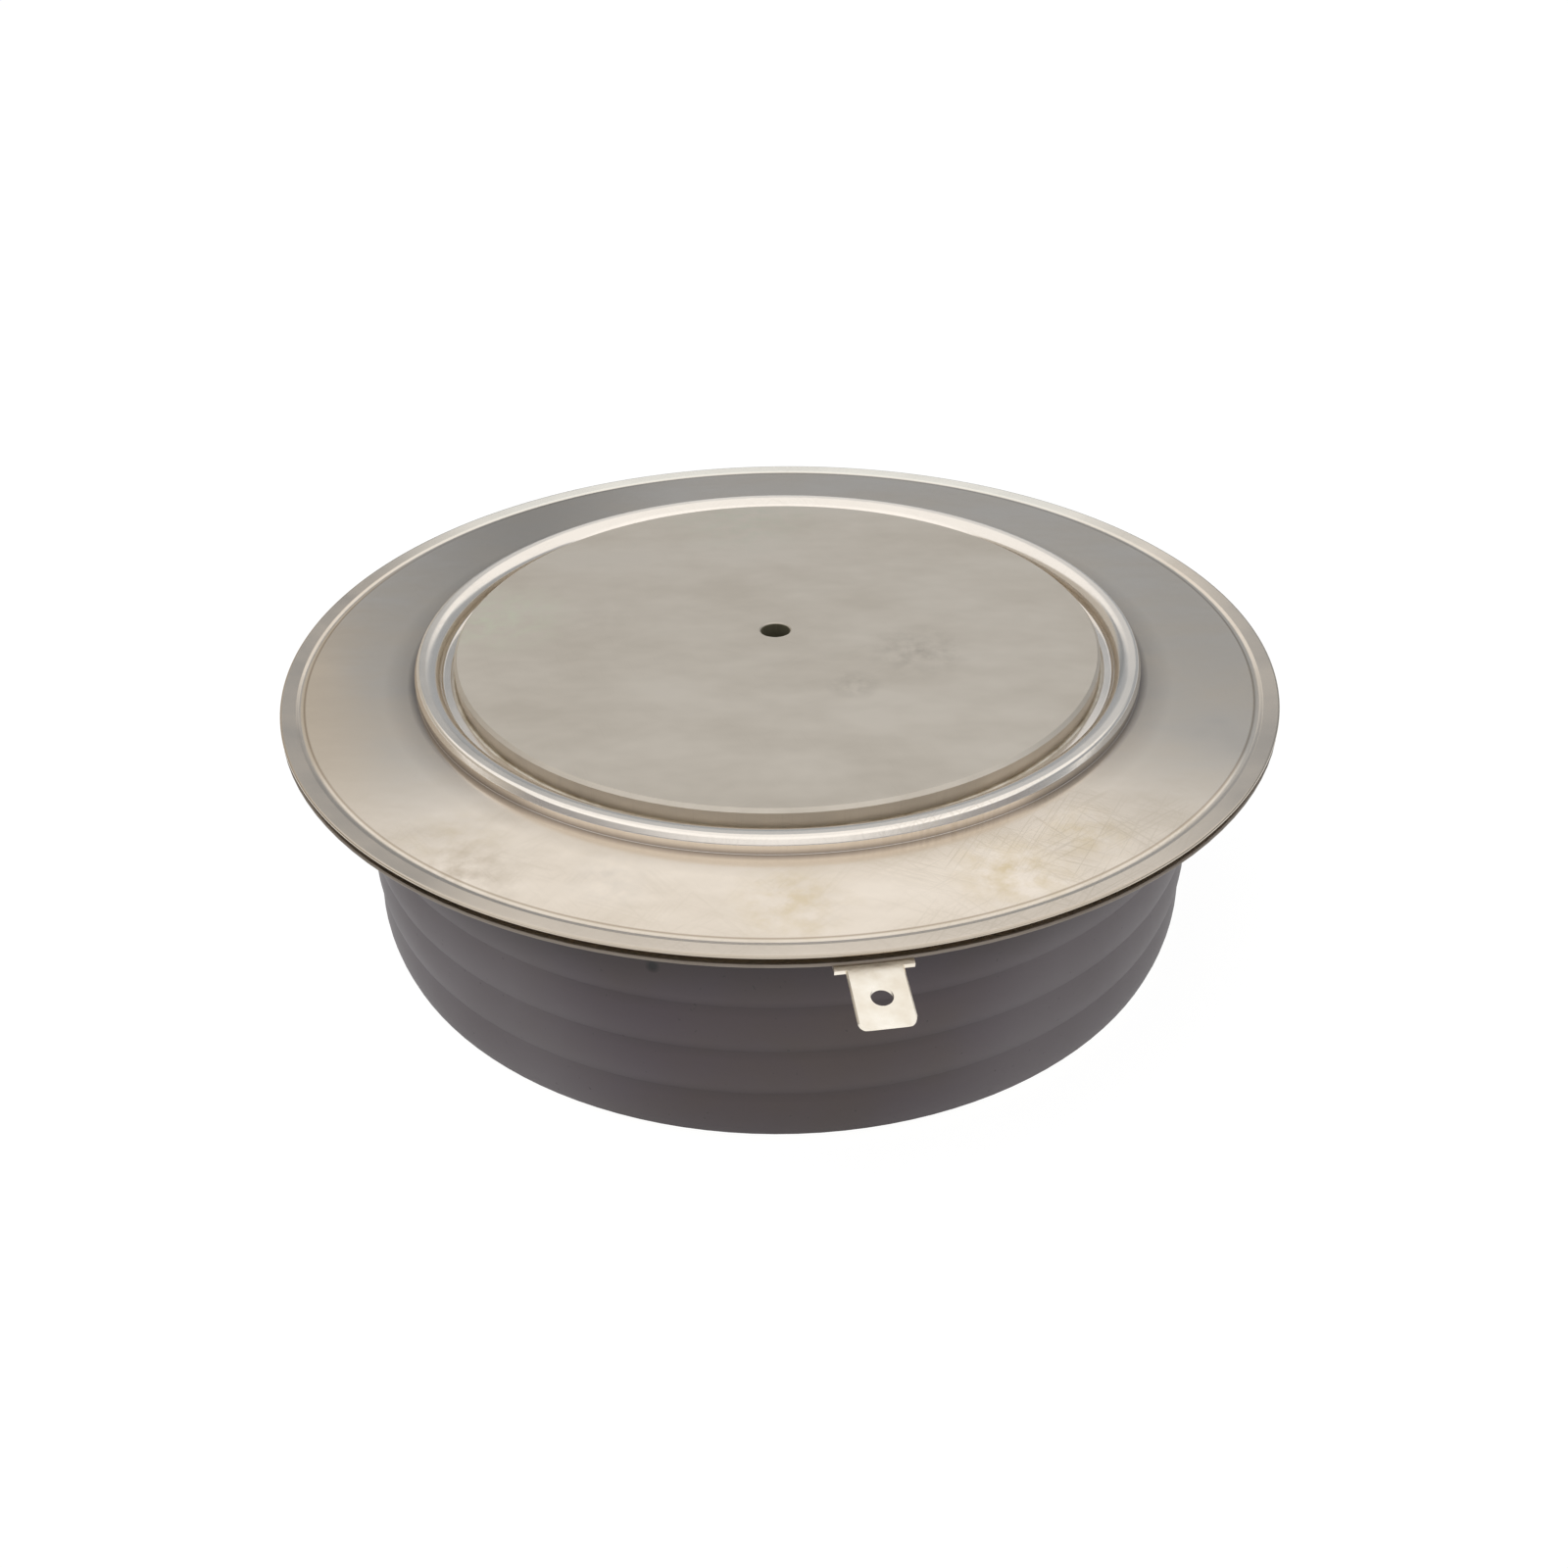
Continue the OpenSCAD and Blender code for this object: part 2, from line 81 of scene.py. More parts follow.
WELD_FROM_RIM_MM = 2.4
RIM_R_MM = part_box("lid_flange")[1].x / MM
WELD_R_MM = RIM_R_MM - WELD_FROM_RIM_MM
CONTACT_R_MM = 39.5
SHEET_MM = 0.4
BLADE_MM = 0.5
# Nearly all of a noise texture's values lie in this range.
NOISE_SPAN = (0.3, 0.7)


class Axis(Enum):
    """What a ring of braze or solder runs round, as the turn about X that brings it there."""

    VERTICAL = 0.0
    GATE = -math.pi / 2


def to_linear(code: str) -> tuple[float, float, float, float]:
    """Turns an sRGB hex colour into a linear one.

    Args:
        code: Six hex digits after a hash sign.

    Returns:
        Red, green, blue and alpha for a shader socket.
    """
    values = [int(code[start:start + 2], 16) / 255 for start in (1, 3, 5)]
    linear = [v / 12.92 if v <= 0.04045 else ((v + 0.055) / 1.055) ** 2.4 for v in values]
    return (*linear, 1.0)


class Nodes:
    """The node tree of one material or world, which starts empty."""

    def __init__(self, owner: bpy.types.Material | bpy.types.World) -> None:
        """Switches the owner's nodes on and empties its tree.

        Args:
            owner: The material or the world.
        """
        owner.use_nodes = True
        self.tree = owner.node_tree
        self.tree.nodes.clear()

    def add(
            self, kind: str, inputs: dict | tuple = (), output: int | str = 0,
            **settings: object) -> Socket | None:
        """Adds one shader node with its settings and its links.

        Args:
            kind: Blender's name of the node type, after the word ShaderNode.
            inputs: Values or the outputs that feed them, in the sockets' order or by name or number.
            output: The name or number of the output that is wanted.
            **settings: Properties of the node.

        Returns:
            That output, or None where the node has no outputs.
        """
        node = self.tree.nodes.new("ShaderNode" + kind)
        for name, value in settings.items():
            setattr(node, name, value)
        for socket, value in inputs.items() if isinstance(inputs, dict) else enumerate(inputs):
            if isinstance(value, Socket):
                self.tree.links.new(value, node.inputs[socket])
            else:
                node.inputs[socket].default_value = value
        return node.outputs[output] if node.outputs else None

    def seen_directly(self) -> Socket:
        """Tells direct looks from soft light.

        Returns:
            1 for what the camera, a reflection or glass looks at, and 0 for soft light.
        """
        seen = 0.0
        for name in ("Is Camera Ray", "Is Glossy Ray", "Is Transmission Ray"):
            seen = self.add("Math", (seen, self.add("LightPath", output=name)), operation="MAXIMUM")
        return seen


class Pattern(Nodes):
    """The node chains that the finishes share, all measured in millimetres on the piece."""

    def __init__(self, owner: bpy.types.Material) -> None:
        """Starts from the object's own coordinates, scaled to millimetres.

        Args:
            owner: The material.
        """
        super().__init__(owner)
        where = self.add("TexCoord", output="Object")
        self.place = self.add("VectorMath", {0: where, "Scale": 1 / MM}, operation="SCALE")

    def paint(self, base: str, *layers: tuple[object, str]) -> Socket:
        """Lays colours over each other.

        Args:
            base: The lowest colour.
            *layers: For each colour above it, where it lies and how densely, and the colour.

        Returns:
            The colour that shows.
        """
        colour = to_linear(base)
        for factor, over in layers:
            sockets = {0: factor, 6: colour, 7: to_linear(over)}
            colour = self.add("Mix", sockets, 2, data_type="RGBA")
        return colour

    def overlap(self, *areas: object) -> Socket:
        """Finds where several areas all lie.

        Args:
            *areas: Outputs or values from 0 to 1.

        Returns:
            Their product.
        """
        shared = areas[0]
        for area in areas[1:]:
            shared = self.add("Math", (shared, area), operation="MULTIPLY")
        return shared

    def raised(self, base: object, *layers: tuple[object, float]) -> Socket:
        """Raises a value by several patterns.

        Args:
            base: The value to start from.
            *layers: Each pattern and how much it adds where it is 1.

        Returns:
            The sum.
        """
        for layer, amount in layers:
            base = self.add("Math", (layer, amount, base), operation="MULTIPLY_ADD")
        return base

    def relief(
            self, *layers: tuple[object, float],
            normal: Socket | None = None) -> Socket:
        """Gives the surface a relief.

        Args:
            *layers: Each pattern and its height in millimetres where it is 1.
            normal: The normal to start from, if it isn't the surface's own.

        Returns:
            The normal with that relief.
        """
        sockets = {"Height": self.raised(0.0, *layers), "Distance": MM}
        if normal is not None:
            sockets["Normal"] = normal
        return self.add("Bump", sockets)

    def patches(
            self, size_mm: float, detail: float = 3.0, seed: float = 0.0,
            stretch: float = 1.0) -> Socket:
        """Makes cloudy patches.

        Args:
            size_mm: The depth of a patch along Y and Z.
            detail: How many finer layers each patch has.
            seed: An offset that gives another layout.
            stretch: How many times longer than deep a patch is along X.

        Returns:
            An output from 0 to 1, mostly near 0.5.
        """
        scale = (1 / (size_mm * stretch), 1 / size_mm, 1 / size_mm)
        moved = self.add("VectorMath", (self.place, scale, (seed, seed, seed)), operation="MULTIPLY_ADD")
        return self.add("TexNoise", {"Vector": moved, "Scale": 1.0, "Detail": detail, "Roughness": 0.6})

    def radius(self) -> Socket:
        """Returns the distance from the capsule's axis, in millimetres."""
        flat = self.add("VectorMath", (self.place, (1.0, 1.0, 0.0)), operation="MULTIPLY")
        return self.add("VectorMath", (flat,), "Value", operation="LENGTH")

    def rings(self, pitch_mm: float) -> Socket:
        """Returns the concentric marks of a turning tool or a polishing wheel."""
        sockets = {"W": self.radius(), "Scale": 1 / pitch_mm, "Detail": 2.0}
        return self.add("TexNoise", sockets, noise_dimensions="1D")

    def scratches(
            self, angle_deg: float, length_mm: float, width_mm: float,
            share: float) -> Socket:
        """Makes fine straight scratches that all run one way across the flat faces.

        Args:
            angle_deg: Their direction in plan.
            length_mm: The length of a scratch.
            width_mm: The width of a scratch.
            share: How much of the face they cover, from 0 to 1.

        Returns:
            An output that is 1 in a scratch and 0 beside it.
        """
        turn = (0.0, 0.0, math.radians(angle_deg))
        turned = self.add("Mapping", {"Vector": self.place, "Rotation": turn})
        scale = (1 / length_mm, 1 / width_mm, 1 / length_mm)
        stretched = self.add("VectorMath", (turned, scale), operation="MULTIPLY")
        lines = self.add("TexNoise", {"Vector": stretched, "Scale": 1.0, "Detail": 1.0})
        edge = 0.72 - 0.3 * share
        return self.add("MapRange", (lines, edge, edge + 0.06))

    def near(
            self, spot_mm: Triple, full_mm: float, fade_mm: float,
            peak: float = 1.0, rest: float = 0.0) -> Socket:
        """Returns the peak value close to a point of the piece, and the rest value away from it."""
        away = self.add("VectorMath", (self.place, spot_mm), "Value", operation="DISTANCE")
        return self.add("MapRange", (away, full_mm, full_mm + fade_mm, peak, rest))

    def levelled(self, share: float) -> Socket:
        """Levels the surface's normal.

        Args:
            share: How much of its upward or downward tilt stays.

        Returns:
            The levelled normal.
        """
        normal = self.add("NewGeometry", output="Normal")
        scaled = self.add("VectorMath", (normal, (1.0, 1.0, share)), operation="MULTIPLY")
        return self.add("VectorMath", (scaled,), operation="NORMALIZE")


@dataclass(frozen=True)
class Finish:
    """One surface of the capsule, named for what it is made of and how."""

    name: str

    def shade(self, pattern: Pattern) -> dict:
        """Returns the Principled BSDF's sockets; each finish gives its own."""
        raise NotImplementedError

    def build(self) -> bpy.types.Material:
        """Makes the material once, and finds it again for the next piece.

        Returns:
            The Blender material.
        """
        made = bpy.data.materials.get(self.name)
        if made:
            return made
        made = bpy.data.materials.new(self.name)
        pattern = Pattern(made)
        pattern.add("OutputMaterial", (pattern.add("BsdfPrincipled", self.shade(pattern)),))
        return made

    def dress(self, piece: Piece) -> None:
        """Puts this finish alone on a piece."""
        piece.data.materials.clear()
        piece.data.materials.append(self.build())


@dataclass(frozen=True)
class Mark:
    """A stain, a smudge or a rubbed spot on a flat face."""

    x_mm: float
    y_mm: float
    reach_mm: float
    amount: float
    colour: str = "#CDB98E"
    core: float = 0.2

    def near(self, pattern: Pattern, level_mm: float, peak: float, rest: float) -> Socket:
        """Returns the peak value in the mark's core, and the rest value beyond its reach."""
        spot = (self.x_mm, self.y_mm, level_mm)
        return pattern.near(spot, self.reach_mm * self.core, self.reach_mm, peak, rest)


@dataclass(frozen=True)
class Band:
    """A ring of the surface that looks different, such as the tinted zone beside a weld.

    With from_y_mm it fades in between two places along Y, so that only the back of the ring has it.
    """

    inner_mm: float
    outer_mm: float
    colour: str
    amount: float
    fade_mm: float = 0.3
    rougher: float = 0.0
    from_y_mm: Pair | None = None

    def zone(self, pattern: Pattern) -> Socket:
        """Finds the ring, with soft sides.

        Args:
            pattern: The shared node chains.

        Returns:
            An output that is 1 in the ring and 0 elsewhere.
        """
        radius, half = pattern.radius(), self.fade_mm / 2
        sides = [
            pattern.add("MapRange", (radius, self.inner_mm - half, self.inner_mm + half)),
            pattern.add("MapRange", (radius, self.outer_mm - half, self.outer_mm + half, 1.0, 0.0)),
        ]
        if self.from_y_mm:
            along = pattern.add("SeparateXYZ", (pattern.place,), "Y")
            sides.append(pattern.add("MapRange", (along, *self.from_y_mm)))
        return pattern.overlap(*sides)


@dataclass(frozen=True)
class NickelPlate(Finish):
    """Nickel plate on a turned, lapped or rolled metal piece.

    Nickel gives a warm silver with a soft, slightly yellow reflection. The tool or the lapping plate
    under it gives the rings and the fine scratches that spread that reflection.
    """

    colour: str
    worn: str
    roughness: float
    worn_span: Pair = (0.36, 0.68)
    patch_mm: float = 9.0
    patch_stretch: float = 1.0
    roughness_spread: float = 0.08
    ring_pitch_mm: float = 0.35
    ring_mm: float = 0.0
    scratch_deg: tuple[float, ...] = (24.0, 71.0, -38.0)
    scratch_long_mm: float = 7.0
    scratch_wide_mm: float = 0.2
    scratch_mm: float = 0.0005
    scratch_share: float = 0.45
    scratch_span: Pair = (0.35, 0.6)
    scratch_rougher: float = 0.06
    scratch_tint: float = 0.0
    scratch_colour: str = "#B9AA92"
    grain_mm: float = 0.9
    grain_depth_mm: float = 0.0
    marks: tuple[Mark, ...] = ()
    mark_mm: float = 2.5
    mark_span: Pair = (0.38, 0.66)
    mark_level_mm: float = LID_MM
    rub: Mark | None = None
    bands: tuple[Band, ...] = ()

    def stained(self, pattern: Pattern) -> list[tuple[Socket, str]]:
        """Finds the marks and the bands.

        Args:
            pattern: The shared node chains.

        Returns:
            Where each of them lies, with its colour.
        """
        layers = []
        if self.marks:
            blotch = pattern.add("MapRange", (pattern.patches(self.mark_mm, 4.0, 3.0), *self.mark_span))
        for mark in self.marks:
            place = mark.near(pattern, self.mark_level_mm, mark.amount, 0.0)
            layers.append((pattern.overlap(place, blotch), mark.colour))
        for band in self.bands:
            layers.append((pattern.overlap(band.zone(pattern), band.amount), band.colour))
        return layers

    def scratched(self, pattern: Pattern, cloud: Socket) -> Socket:
        """Makes the fine scratches of all directions, denser where the plate is worn or rubbed.

        Args:
            pattern: The shared node chains.
            cloud: The patches of wear.

        Returns:
            An output that is 1 in a scratch and 0 beside it.
        """
        lines = 0.0
        for angle in self.scratch_deg:
            more = pattern.scratches(angle, self.scratch_long_mm, self.scratch_wide_mm, self.scratch_share)
            lines = pattern.add("Math", (lines, more), operation="MAXIMUM")
        places = [pattern.add("MapRange", (cloud, *self.scratch_span))]
        if self.rub:
            places.append(self.rub.near(pattern, self.mark_level_mm, 1.0, 1.0 - self.rub.amount))
        return pattern.overlap(lines, *places)

    def shade(self, pattern: Pattern) -> dict:
        """Sets up worn nickel plate.

        Args:
            pattern: The shared node chains.

        Returns:
            The Principled BSDF's sockets.
        """
        cloud = pattern.patches(self.patch_mm, stretch=self.patch_stretch)
        lines = self.scratched(pattern, cloud)
        relief = [(lines, -self.scratch_mm)]
        if self.ring_mm:
            relief.append((pattern.rings(self.ring_pitch_mm), self.ring_mm))
        if self.grain_depth_mm:
            relief.append((pattern.patches(self.grain_mm, 2.0, 7.0), self.grain_depth_mm))
        layers = [(pattern.add("MapRange", (cloud, *self.worn_span)), self.worn), *self.stained(pattern)]
        if self.scratch_tint:
            layers.append((pattern.overlap(lines, self.scratch_tint), self.scratch_colour))
        low, high = self.roughness - self.roughness_spread / 2, self.roughness + self.roughness_spread
        rough = [(band.zone(pattern), band.rougher) for band in self.bands if band.rougher]
        return {
            "Base Color": pattern.paint(self.colour, *layers),
            "Metallic": 1.0,
            "Roughness": pattern.raised(
                pattern.add("MapRange", (cloud, *NOISE_SPAN, low, high)),
                (lines, self.scratch_rougher), *rough),
            "Normal": pattern.relief(*relief),
        }


@dataclass(frozen=True)
class GlazedAlumina(Finish):
    """Alumina ring, pressed, ground and fired with a dark glaze.

    The glaze gives a deep brown-violet body under a satin reflection. Its colour has painted shade
    below the rim and in the valleys between the ribs, and is a little darker towards the foot. The
    ribs' normals are levelled, so they look softer than they were pressed, and at grazing angles a
    painted reflection turns the colour grey. It has the slight orange peel of fired glass and one
    small pit in front.
    """

    colour: str = "#483C42"
    warm: str = "#4C403E"
    dark: str = "#1C1517"
    # Painted reflection: the grey that the colour turns at grazing angles, how much, over which facing
    # values, and how much of the ribs' tilt the facing keeps.
    painted_reflection: str = "#655E61"
    painted_reflection_share: float = 0.85
    painted_reflection_span: Pair = (0.3, 0.5)
    painted_reflection_tilt: float = 0.01
    roughness: float = 0.58
    ior: float = 1.54
    sheen: float = 0.12
    sheen_roughness: float = 0.4
    cloud_mm: float = 14.0
    # Painted shade below the rim, between these heights.
    shade_top_mm: Pair = (20.0, 26.5)
    shade_top: float = 0.6
    shade_foot_mm: Pair = (9.0, 3.0)
    shade_foot: float = 0.22
    # Painted shade in the valleys between the ribs, by radius.
    valley_shade_mm: Pair = (52.02, 52.3)
    valley_shade: float = 0.2
    rib_tilt: float = 0.6
    speck: str = "#1E1A1A"
    speck_mm: float = 0.55
    speck_share: float = 0.5
    pit: str = "#0E0C0C"
    pit_mm: Triple = (-12.53, -50.98, 24.3)
    pit_r_mm: float = 0.35
    pit_fade_mm: float = 0.5
    pit_depth_mm: float = 0.1
    peel_mm: float = 1.6
    peel_depth_mm: float = 0.012

    def shade(self, pattern: Pattern) -> dict:
        """Sets up fired glaze.

        Args:
            pattern: The shared node chains.

        Returns:
            The Principled BSDF's sockets.
        """
        cloud = pattern.patches(self.cloud_mm, 2.0)
        height = pattern.add("SeparateXYZ", (pattern.place,), "Z")
        # A painted reflection greys the colour where the ring is seen at a grazing angle.
        facing = pattern.add(
            "LayerWeight", {"Blend": 0.5, "Normal": pattern.levelled(self.painted_reflection_tilt)}, "Facing")
        painted_reflection = pattern.add(
            "MapRange", (facing, *self.painted_reflection_span, 0.0, self.painted_reflection_share),
            interpolation_type="SMOOTHSTEP")
        specks = pattern.patches(self.speck_mm, 1.0, 11.0)
        speck = pattern.add("MapRange", (specks, 0.74, 0.8, 0.0, self.speck_share))
        pit = pattern.near(self.pit_mm, self.pit_r_mm, self.pit_fade_mm)
        peel = pattern.patches(self.peel_mm, 1.0, 2.0)
        low, high = self.roughness - 0.03, self.roughness + 0.05
        return {
            "Base Color": pattern.paint(
                self.colour,
                (pattern.add("MapRange", (cloud, 0.35, 0.65)), self.warm),
                (pattern.add("MapRange", (height, *self.shade_foot_mm, 0.0, self.shade_foot)), self.dark),
                # Painted shade in the valleys.
                (pattern.add("MapRange", (pattern.radius(), *self.valley_shade_mm, self.valley_shade, 0.0)), self.dark),
                (painted_reflection, self.painted_reflection),
                # Painted shade below the rim.
                (pattern.add("MapRange", (height, *self.shade_top_mm, 0.0, self.shade_top)), self.dark),
                (speck, self.speck),
                (pit, self.pit)),
            "Roughness": pattern.add("MapRange", (cloud, *NOISE_SPAN, low, high)),
            "IOR": self.ior,
            "Sheen Weight": self.sheen,
            "Sheen Roughness": self.sheen_roughness,
            "Normal": pattern.relief(
                (peel, self.peel_depth_mm), (pit, -self.pit_depth_mm),
                normal=pattern.levelled(self.rib_tilt)),
        }


@dataclass(frozen=True)
class Grained(Finish):
    """A piece with no plate, whose fine grain breaks the reflection up softly."""

    colour: str
    shadow: str
    roughness: float
    grain_mm: float = 0.8
    grain_depth_mm: float = 0.01
    grain_seed: float = 4.0
    cloud_grains: float = 4.0
    cloud_span: Pair = (0.4, 0.65)
    spread: Pair = (0.06, 0.08)

    def body(self) -> dict:
        """Returns the sockets that tell a metal from a moulding; each gives its own."""
        raise NotImplementedError

    def shade(self, pattern: Pattern) -> dict:
        """Sets up a grained solid.

        Args:
            pattern: The shared node chains.

        Returns:
            The Principled BSDF's sockets.
        """
        cloud = pattern.patches(self.grain_mm * self.cloud_grains)
        grain = pattern.patches(self.grain_mm, 2.0, self.grain_seed)
        low, high = self.roughness - self.spread[0], self.roughness + self.spread[1]
        return {
            **self.body(),
            "Base Color": pattern.paint(
                self.colour, (pattern.add("MapRange", (cloud, *self.cloud_span)), self.shadow)),
            "Roughness": pattern.add("MapRange", (grain, *NOISE_SPAN, low, high)),
            "Normal": pattern.relief((grain, self.grain_depth_mm)),
        }


@dataclass(frozen=True)
class PlainMetal(Grained):
    """A bare metal, such as braze, solder, silver or molybdenum, whose colour is its own."""

    def body(self) -> dict:
        """Returns the socket that makes it a metal."""
        return {"Metallic": 1.0}


@dataclass(frozen=True)
class Moulding(Grained):
    """A polymer or a polished crystal inside the capsule: silicone, fluoroplastic or silicon.

    A moulded polymer is pale and soft to the eye, and polished silicon is a dark mirror.
    """

    grain_mm: float = 1.2
    grain_depth_mm: float = 0.006
    grain_seed: float = 9.0
    cloud_grains: float = 5.0
    cloud_span: Pair = (0.38, 0.66)
    spread: Pair = (0.05, 0.07)
    ior: float = 1.4

    def body(self) -> dict:
        """Returns the socket that gives it its gloss."""
        return {"IOR": self.ior}


# Inside the centring holes the surface is a darker olive grey and rougher.
HOLE = Band(-1.0, 1.86, "#77735F", 0.95, 0.1, 0.35)
# Rolled sheet, plated bright: the widest and most reflective surface, with straw-coloured stains in
# front and a browner lip where the weld's heat has tinted it. Painted shade darkens the bead's outer
# corner and fades outwards, and a painted highlight makes the lip lighter at the back.
LID_SHEET = NickelPlate(
    "nickel_plated_sheet", colour="#EDE2D4", worn="#E0D4C4", patch_stretch=2.0, roughness=0.15,
    roughness_spread=0.05, scratch_deg=(24.0, 52.0, -38.0, -61.0), scratch_long_mm=12.0,
    scratch_share=0.4, scratch_mm=0.0, scratch_tint=0.22, rub=Mark(25.0, -42.0, 16.0, 0.7, core=0.3),
    marks=(
        Mark(23.0, -47.5, 6.0, 0.7),
        Mark(31.0, -41.0, 5.0, 0.5),
        Mark(1.5, -52.0, 6.0, 0.5),
        Mark(-33.0, -41.0, 6.0, 0.25),
        Mark(-16.0, -48.0, 5.0, 0.25, "#BDB6AE"),
        Mark(-31.0, -47.5, 6.0, 0.5, "#AE9F8B"),
    ),
    bands=(
        # Painted shade round the bead's outer corner: a soft wide band, and a darker one at the foot.
        Band(38.0, 46.4, "#B5AA9D", 0.6, 3.4),
        Band(38.0, 44.75, "#7C736D", 1.0, 1.0),
        # Inside the bead's foot the sheet takes a lighter plate colour, where the painted shade ends.
        Band(38.0, 44.27, "#F4ECE2", 1.0, 0.04),
        Band(WELD_R_MM + 0.2, RIM_R_MM + 1.0, "#E4D7C7", 0.85, 0.4),
        # Painted highlight: the lip is lighter and less yellow at the back.
        Band(WELD_R_MM + 0.2, RIM_R_MM + 1.0, "#F0ECE2", 1.0, 0.4, from_y_mm=(20.0, 45.0)),
        Band(WELD_R_MM - 0.5, WELD_R_MM - 0.3, "#94836C", 0.7, 0.2),
        Band(RIM_R_MM - 0.2, RIM_R_MM + 1.0, "#B3A899", 0.7, 0.2),
    ))
# Lapped plate: matt, so that it shows an even grey from any side, with faint smudges from hands and
# a slightly greenish bloom at its left and back edges.
CONTACT_FACE = NickelPlate(
    "lapped_nickel_on_copper", colour="#D4CCC0", worn="#C8C0B4", patch_mm=10.0, patch_stretch=1.6,
    roughness=0.5, scratch_mm=0.0003, scratch_share=0.2, mark_level_mm=FACE_MM,
    marks=(
        Mark(17.0, -6.0, 6.0, 0.5, "#A2998E"),
        Mark(9.0, -14.0, 3.0, 0.5, "#A2998E"),
        Mark(-35.0, 4.0, 9.0, 0.7, "#D2D4C0"),
        Mark(-4.0, 35.0, 11.0, 0.5, "#C4C6B6"),
        Mark(-22.0, 4.0, 6.0, 0.15, "#B2AA9E"),
    ),
    bands=(HOLE,))
# Turned plate: the anode block, with tool rings that catch the light.
TURNED_BLOCK = NickelPlate(
    "turned_nickel_on_copper", colour="#D3C9BC", worn="#BBB1A4", roughness=0.36, ring_mm=0.0012,
    bands=(HOLE,))
# Plain flanges: rolled sheet whose cut edge is bare and dull.
FLANGE_SHEET = NickelPlate(
    "nickel_plated_flange", colour="#CDC3B3", worn="#B5AA9A", roughness=0.34, scratch_share=0.4,
    bands=(Band(RIM_R_MM - 0.25, RIM_R_MM + 1.0, "#7F766E", 0.85, 0.2, 0.15),))
# Anode flange: rolled sheet like the lid's, duller from handling.
ANODE_SHEET = NickelPlate(
    "nickel_plated_anode_sheet", colour="#DDD3C2", worn="#C6BBAA", roughness=0.25, roughness_spread=0.06,
    scratch_mm=0.0003, scratch_share=0.5)
# Stamped blade: bright plate with a rumbled surface.
BLADE = NickelPlate(
    "nickel_plated_brass_blade", colour="#FCF5E8", worn="#F1E7D6", patch_mm=2.5, roughness=0.3,
    scratch_mm=0.002, grain_depth_mm=0.015)
# Drawn tube: plain nickel, a little greyer than the plate.
TUBE = NickelPlate("drawn_nickel_tube", colour="#CBC3B6", worn="#B0A79A", patch_mm=2.0, roughness=0.32)
GLAZE = GlazedAlumina("dark_glazed_alumina")
# Silver-copper braze: paler and softer than the plate beside it.
BRAZE = PlainMetal(
    "silver_copper_braze", colour="#D9D2C4", shadow="#B9AE9B", roughness=0.4, grain_depth_mm=0.02)
# Tin solder: a bluish silver that has flowed smooth.
SOLDER = PlainMetal(
    "tin_silver_solder", colour="#CCCCCB", shadow="#A9AAAA", roughness=0.26, grain_depth_mm=0.015)
# Ground molybdenum: a cool dark grey.
MOLYBDENUM = PlainMetal("ground_molybdenum", colour="#A9ABAE", shadow="#8F9194", roughness=0.42)
# Silver: the whitest metal in the capsule.
SILVER = PlainMetal("rolled_silver", colour="#E9E7E1", shadow="#D3CFC4", roughness=0.28)
# Spring steel: drawn wire with a faint blue-grey oxide.
SPRING_STEEL = PlainMetal("drawn_spring_steel", colour="#9EA0A3", shadow="#84868A", roughness=0.32)
SILICON = Moulding("polished_silicon", colour="#383C45", shadow="#31343C", roughness=0.12, ior=3.4)
SILICONE = Moulding("cast_silicone_rubber", colour="#D6CFBF", shadow="#C8C0AE", roughness=0.55)
FLUOROPLASTIC = Moulding(
    "turned_fluoroplastic", colour="#EEECE6", shadow="#E0DDD5", roughness=0.45, ior=1.35)


def clear_selection() -> None:
    """Deselects every object, because an operator acts on all that is selected."""
    bpy.ops.object.select_all(action="DESELECT")


def pick(piece: Piece) -> None:
    """Makes one piece the active object and the only selected one.

    Args:
        piece: The mesh object.
    """
    clear_selection()
    bpy.context.view_layer.objects.active = piece
    piece.select_set(True)


@contextmanager
def editing(piece: Piece) -> Iterator[None]:
    """Opens one piece in edit mode with nothing of it selected.

    Args:
        piece: The mesh object to edit.

    Yields:
        Nothing; the piece is in edit mode meanwhile.
    """
    pick(piece)
    bpy.ops.object.mode_set(mode="EDIT")
    bpy.ops.mesh.select_all(action="DESELECT")
    yield
    bpy.ops.object.mode_set(mode="OBJECT")


def select_corners(piece: Piece, test: Callable[[Vector], bool]) -> None:
    """Selects the vertices whose place passes a test, with the piece in edit mode.

    Args:
        piece: The mesh object.
        test: Says whether a vertex at this place, in metres, is wanted.
    """
    bpy.ops.object.mode_set(mode="OBJECT")
    for corner in piece.data.vertices:
        corner.select = test(corner.co)
    bpy.ops.object.mode_set(mode="EDIT")


def spin_closed(steps: int, merge_mm: float) -> None:
    """Spins all of the piece in edit mode round the capsule's axis into a closed ring.

    Args:
        steps: How many steps a full turn has.
        merge_mm: Points closer than this become one.
    """
    bpy.ops.mesh.select_all(action="SELECT")
    bpy.ops.mesh.spin(steps=steps, angle=math.tau, center=(0, 0, 0), axis=(0, 0, 1))
    bpy.ops.mesh.select_all(action="SELECT")
    bpy.ops.mesh.remove_doubles(threshold=merge_mm * MM)
    bpy.ops.mesh.normals_make_consistent(inside=False)


def complete(piece: Piece, name: str, finish: Finish, slot: str, smooth_deg: float) -> None:
    """Applies a new piece's place to its mesh, names and dresses it and ties it to the capsule.

    Args:
        piece: The mesh object.
        name: What a person would call it.
        finish: Its finish.
        slot: The record's material slot, which is not used.
        smooth_deg: Edges sharper than this stay sharp.
    """
    pick(piece)
    bpy.ops.object.transform_apply(location=True, rotation=True, scale=True)
    bpy.ops.object.shade_smooth_by_angle(angle=math.radians(smooth_deg))
    piece.name = name
    piece.data.name = name
    finish.dress(piece)
    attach(piece, BODY)
    LOG.info("%s: %d faces", name, len(piece.data.polygons))


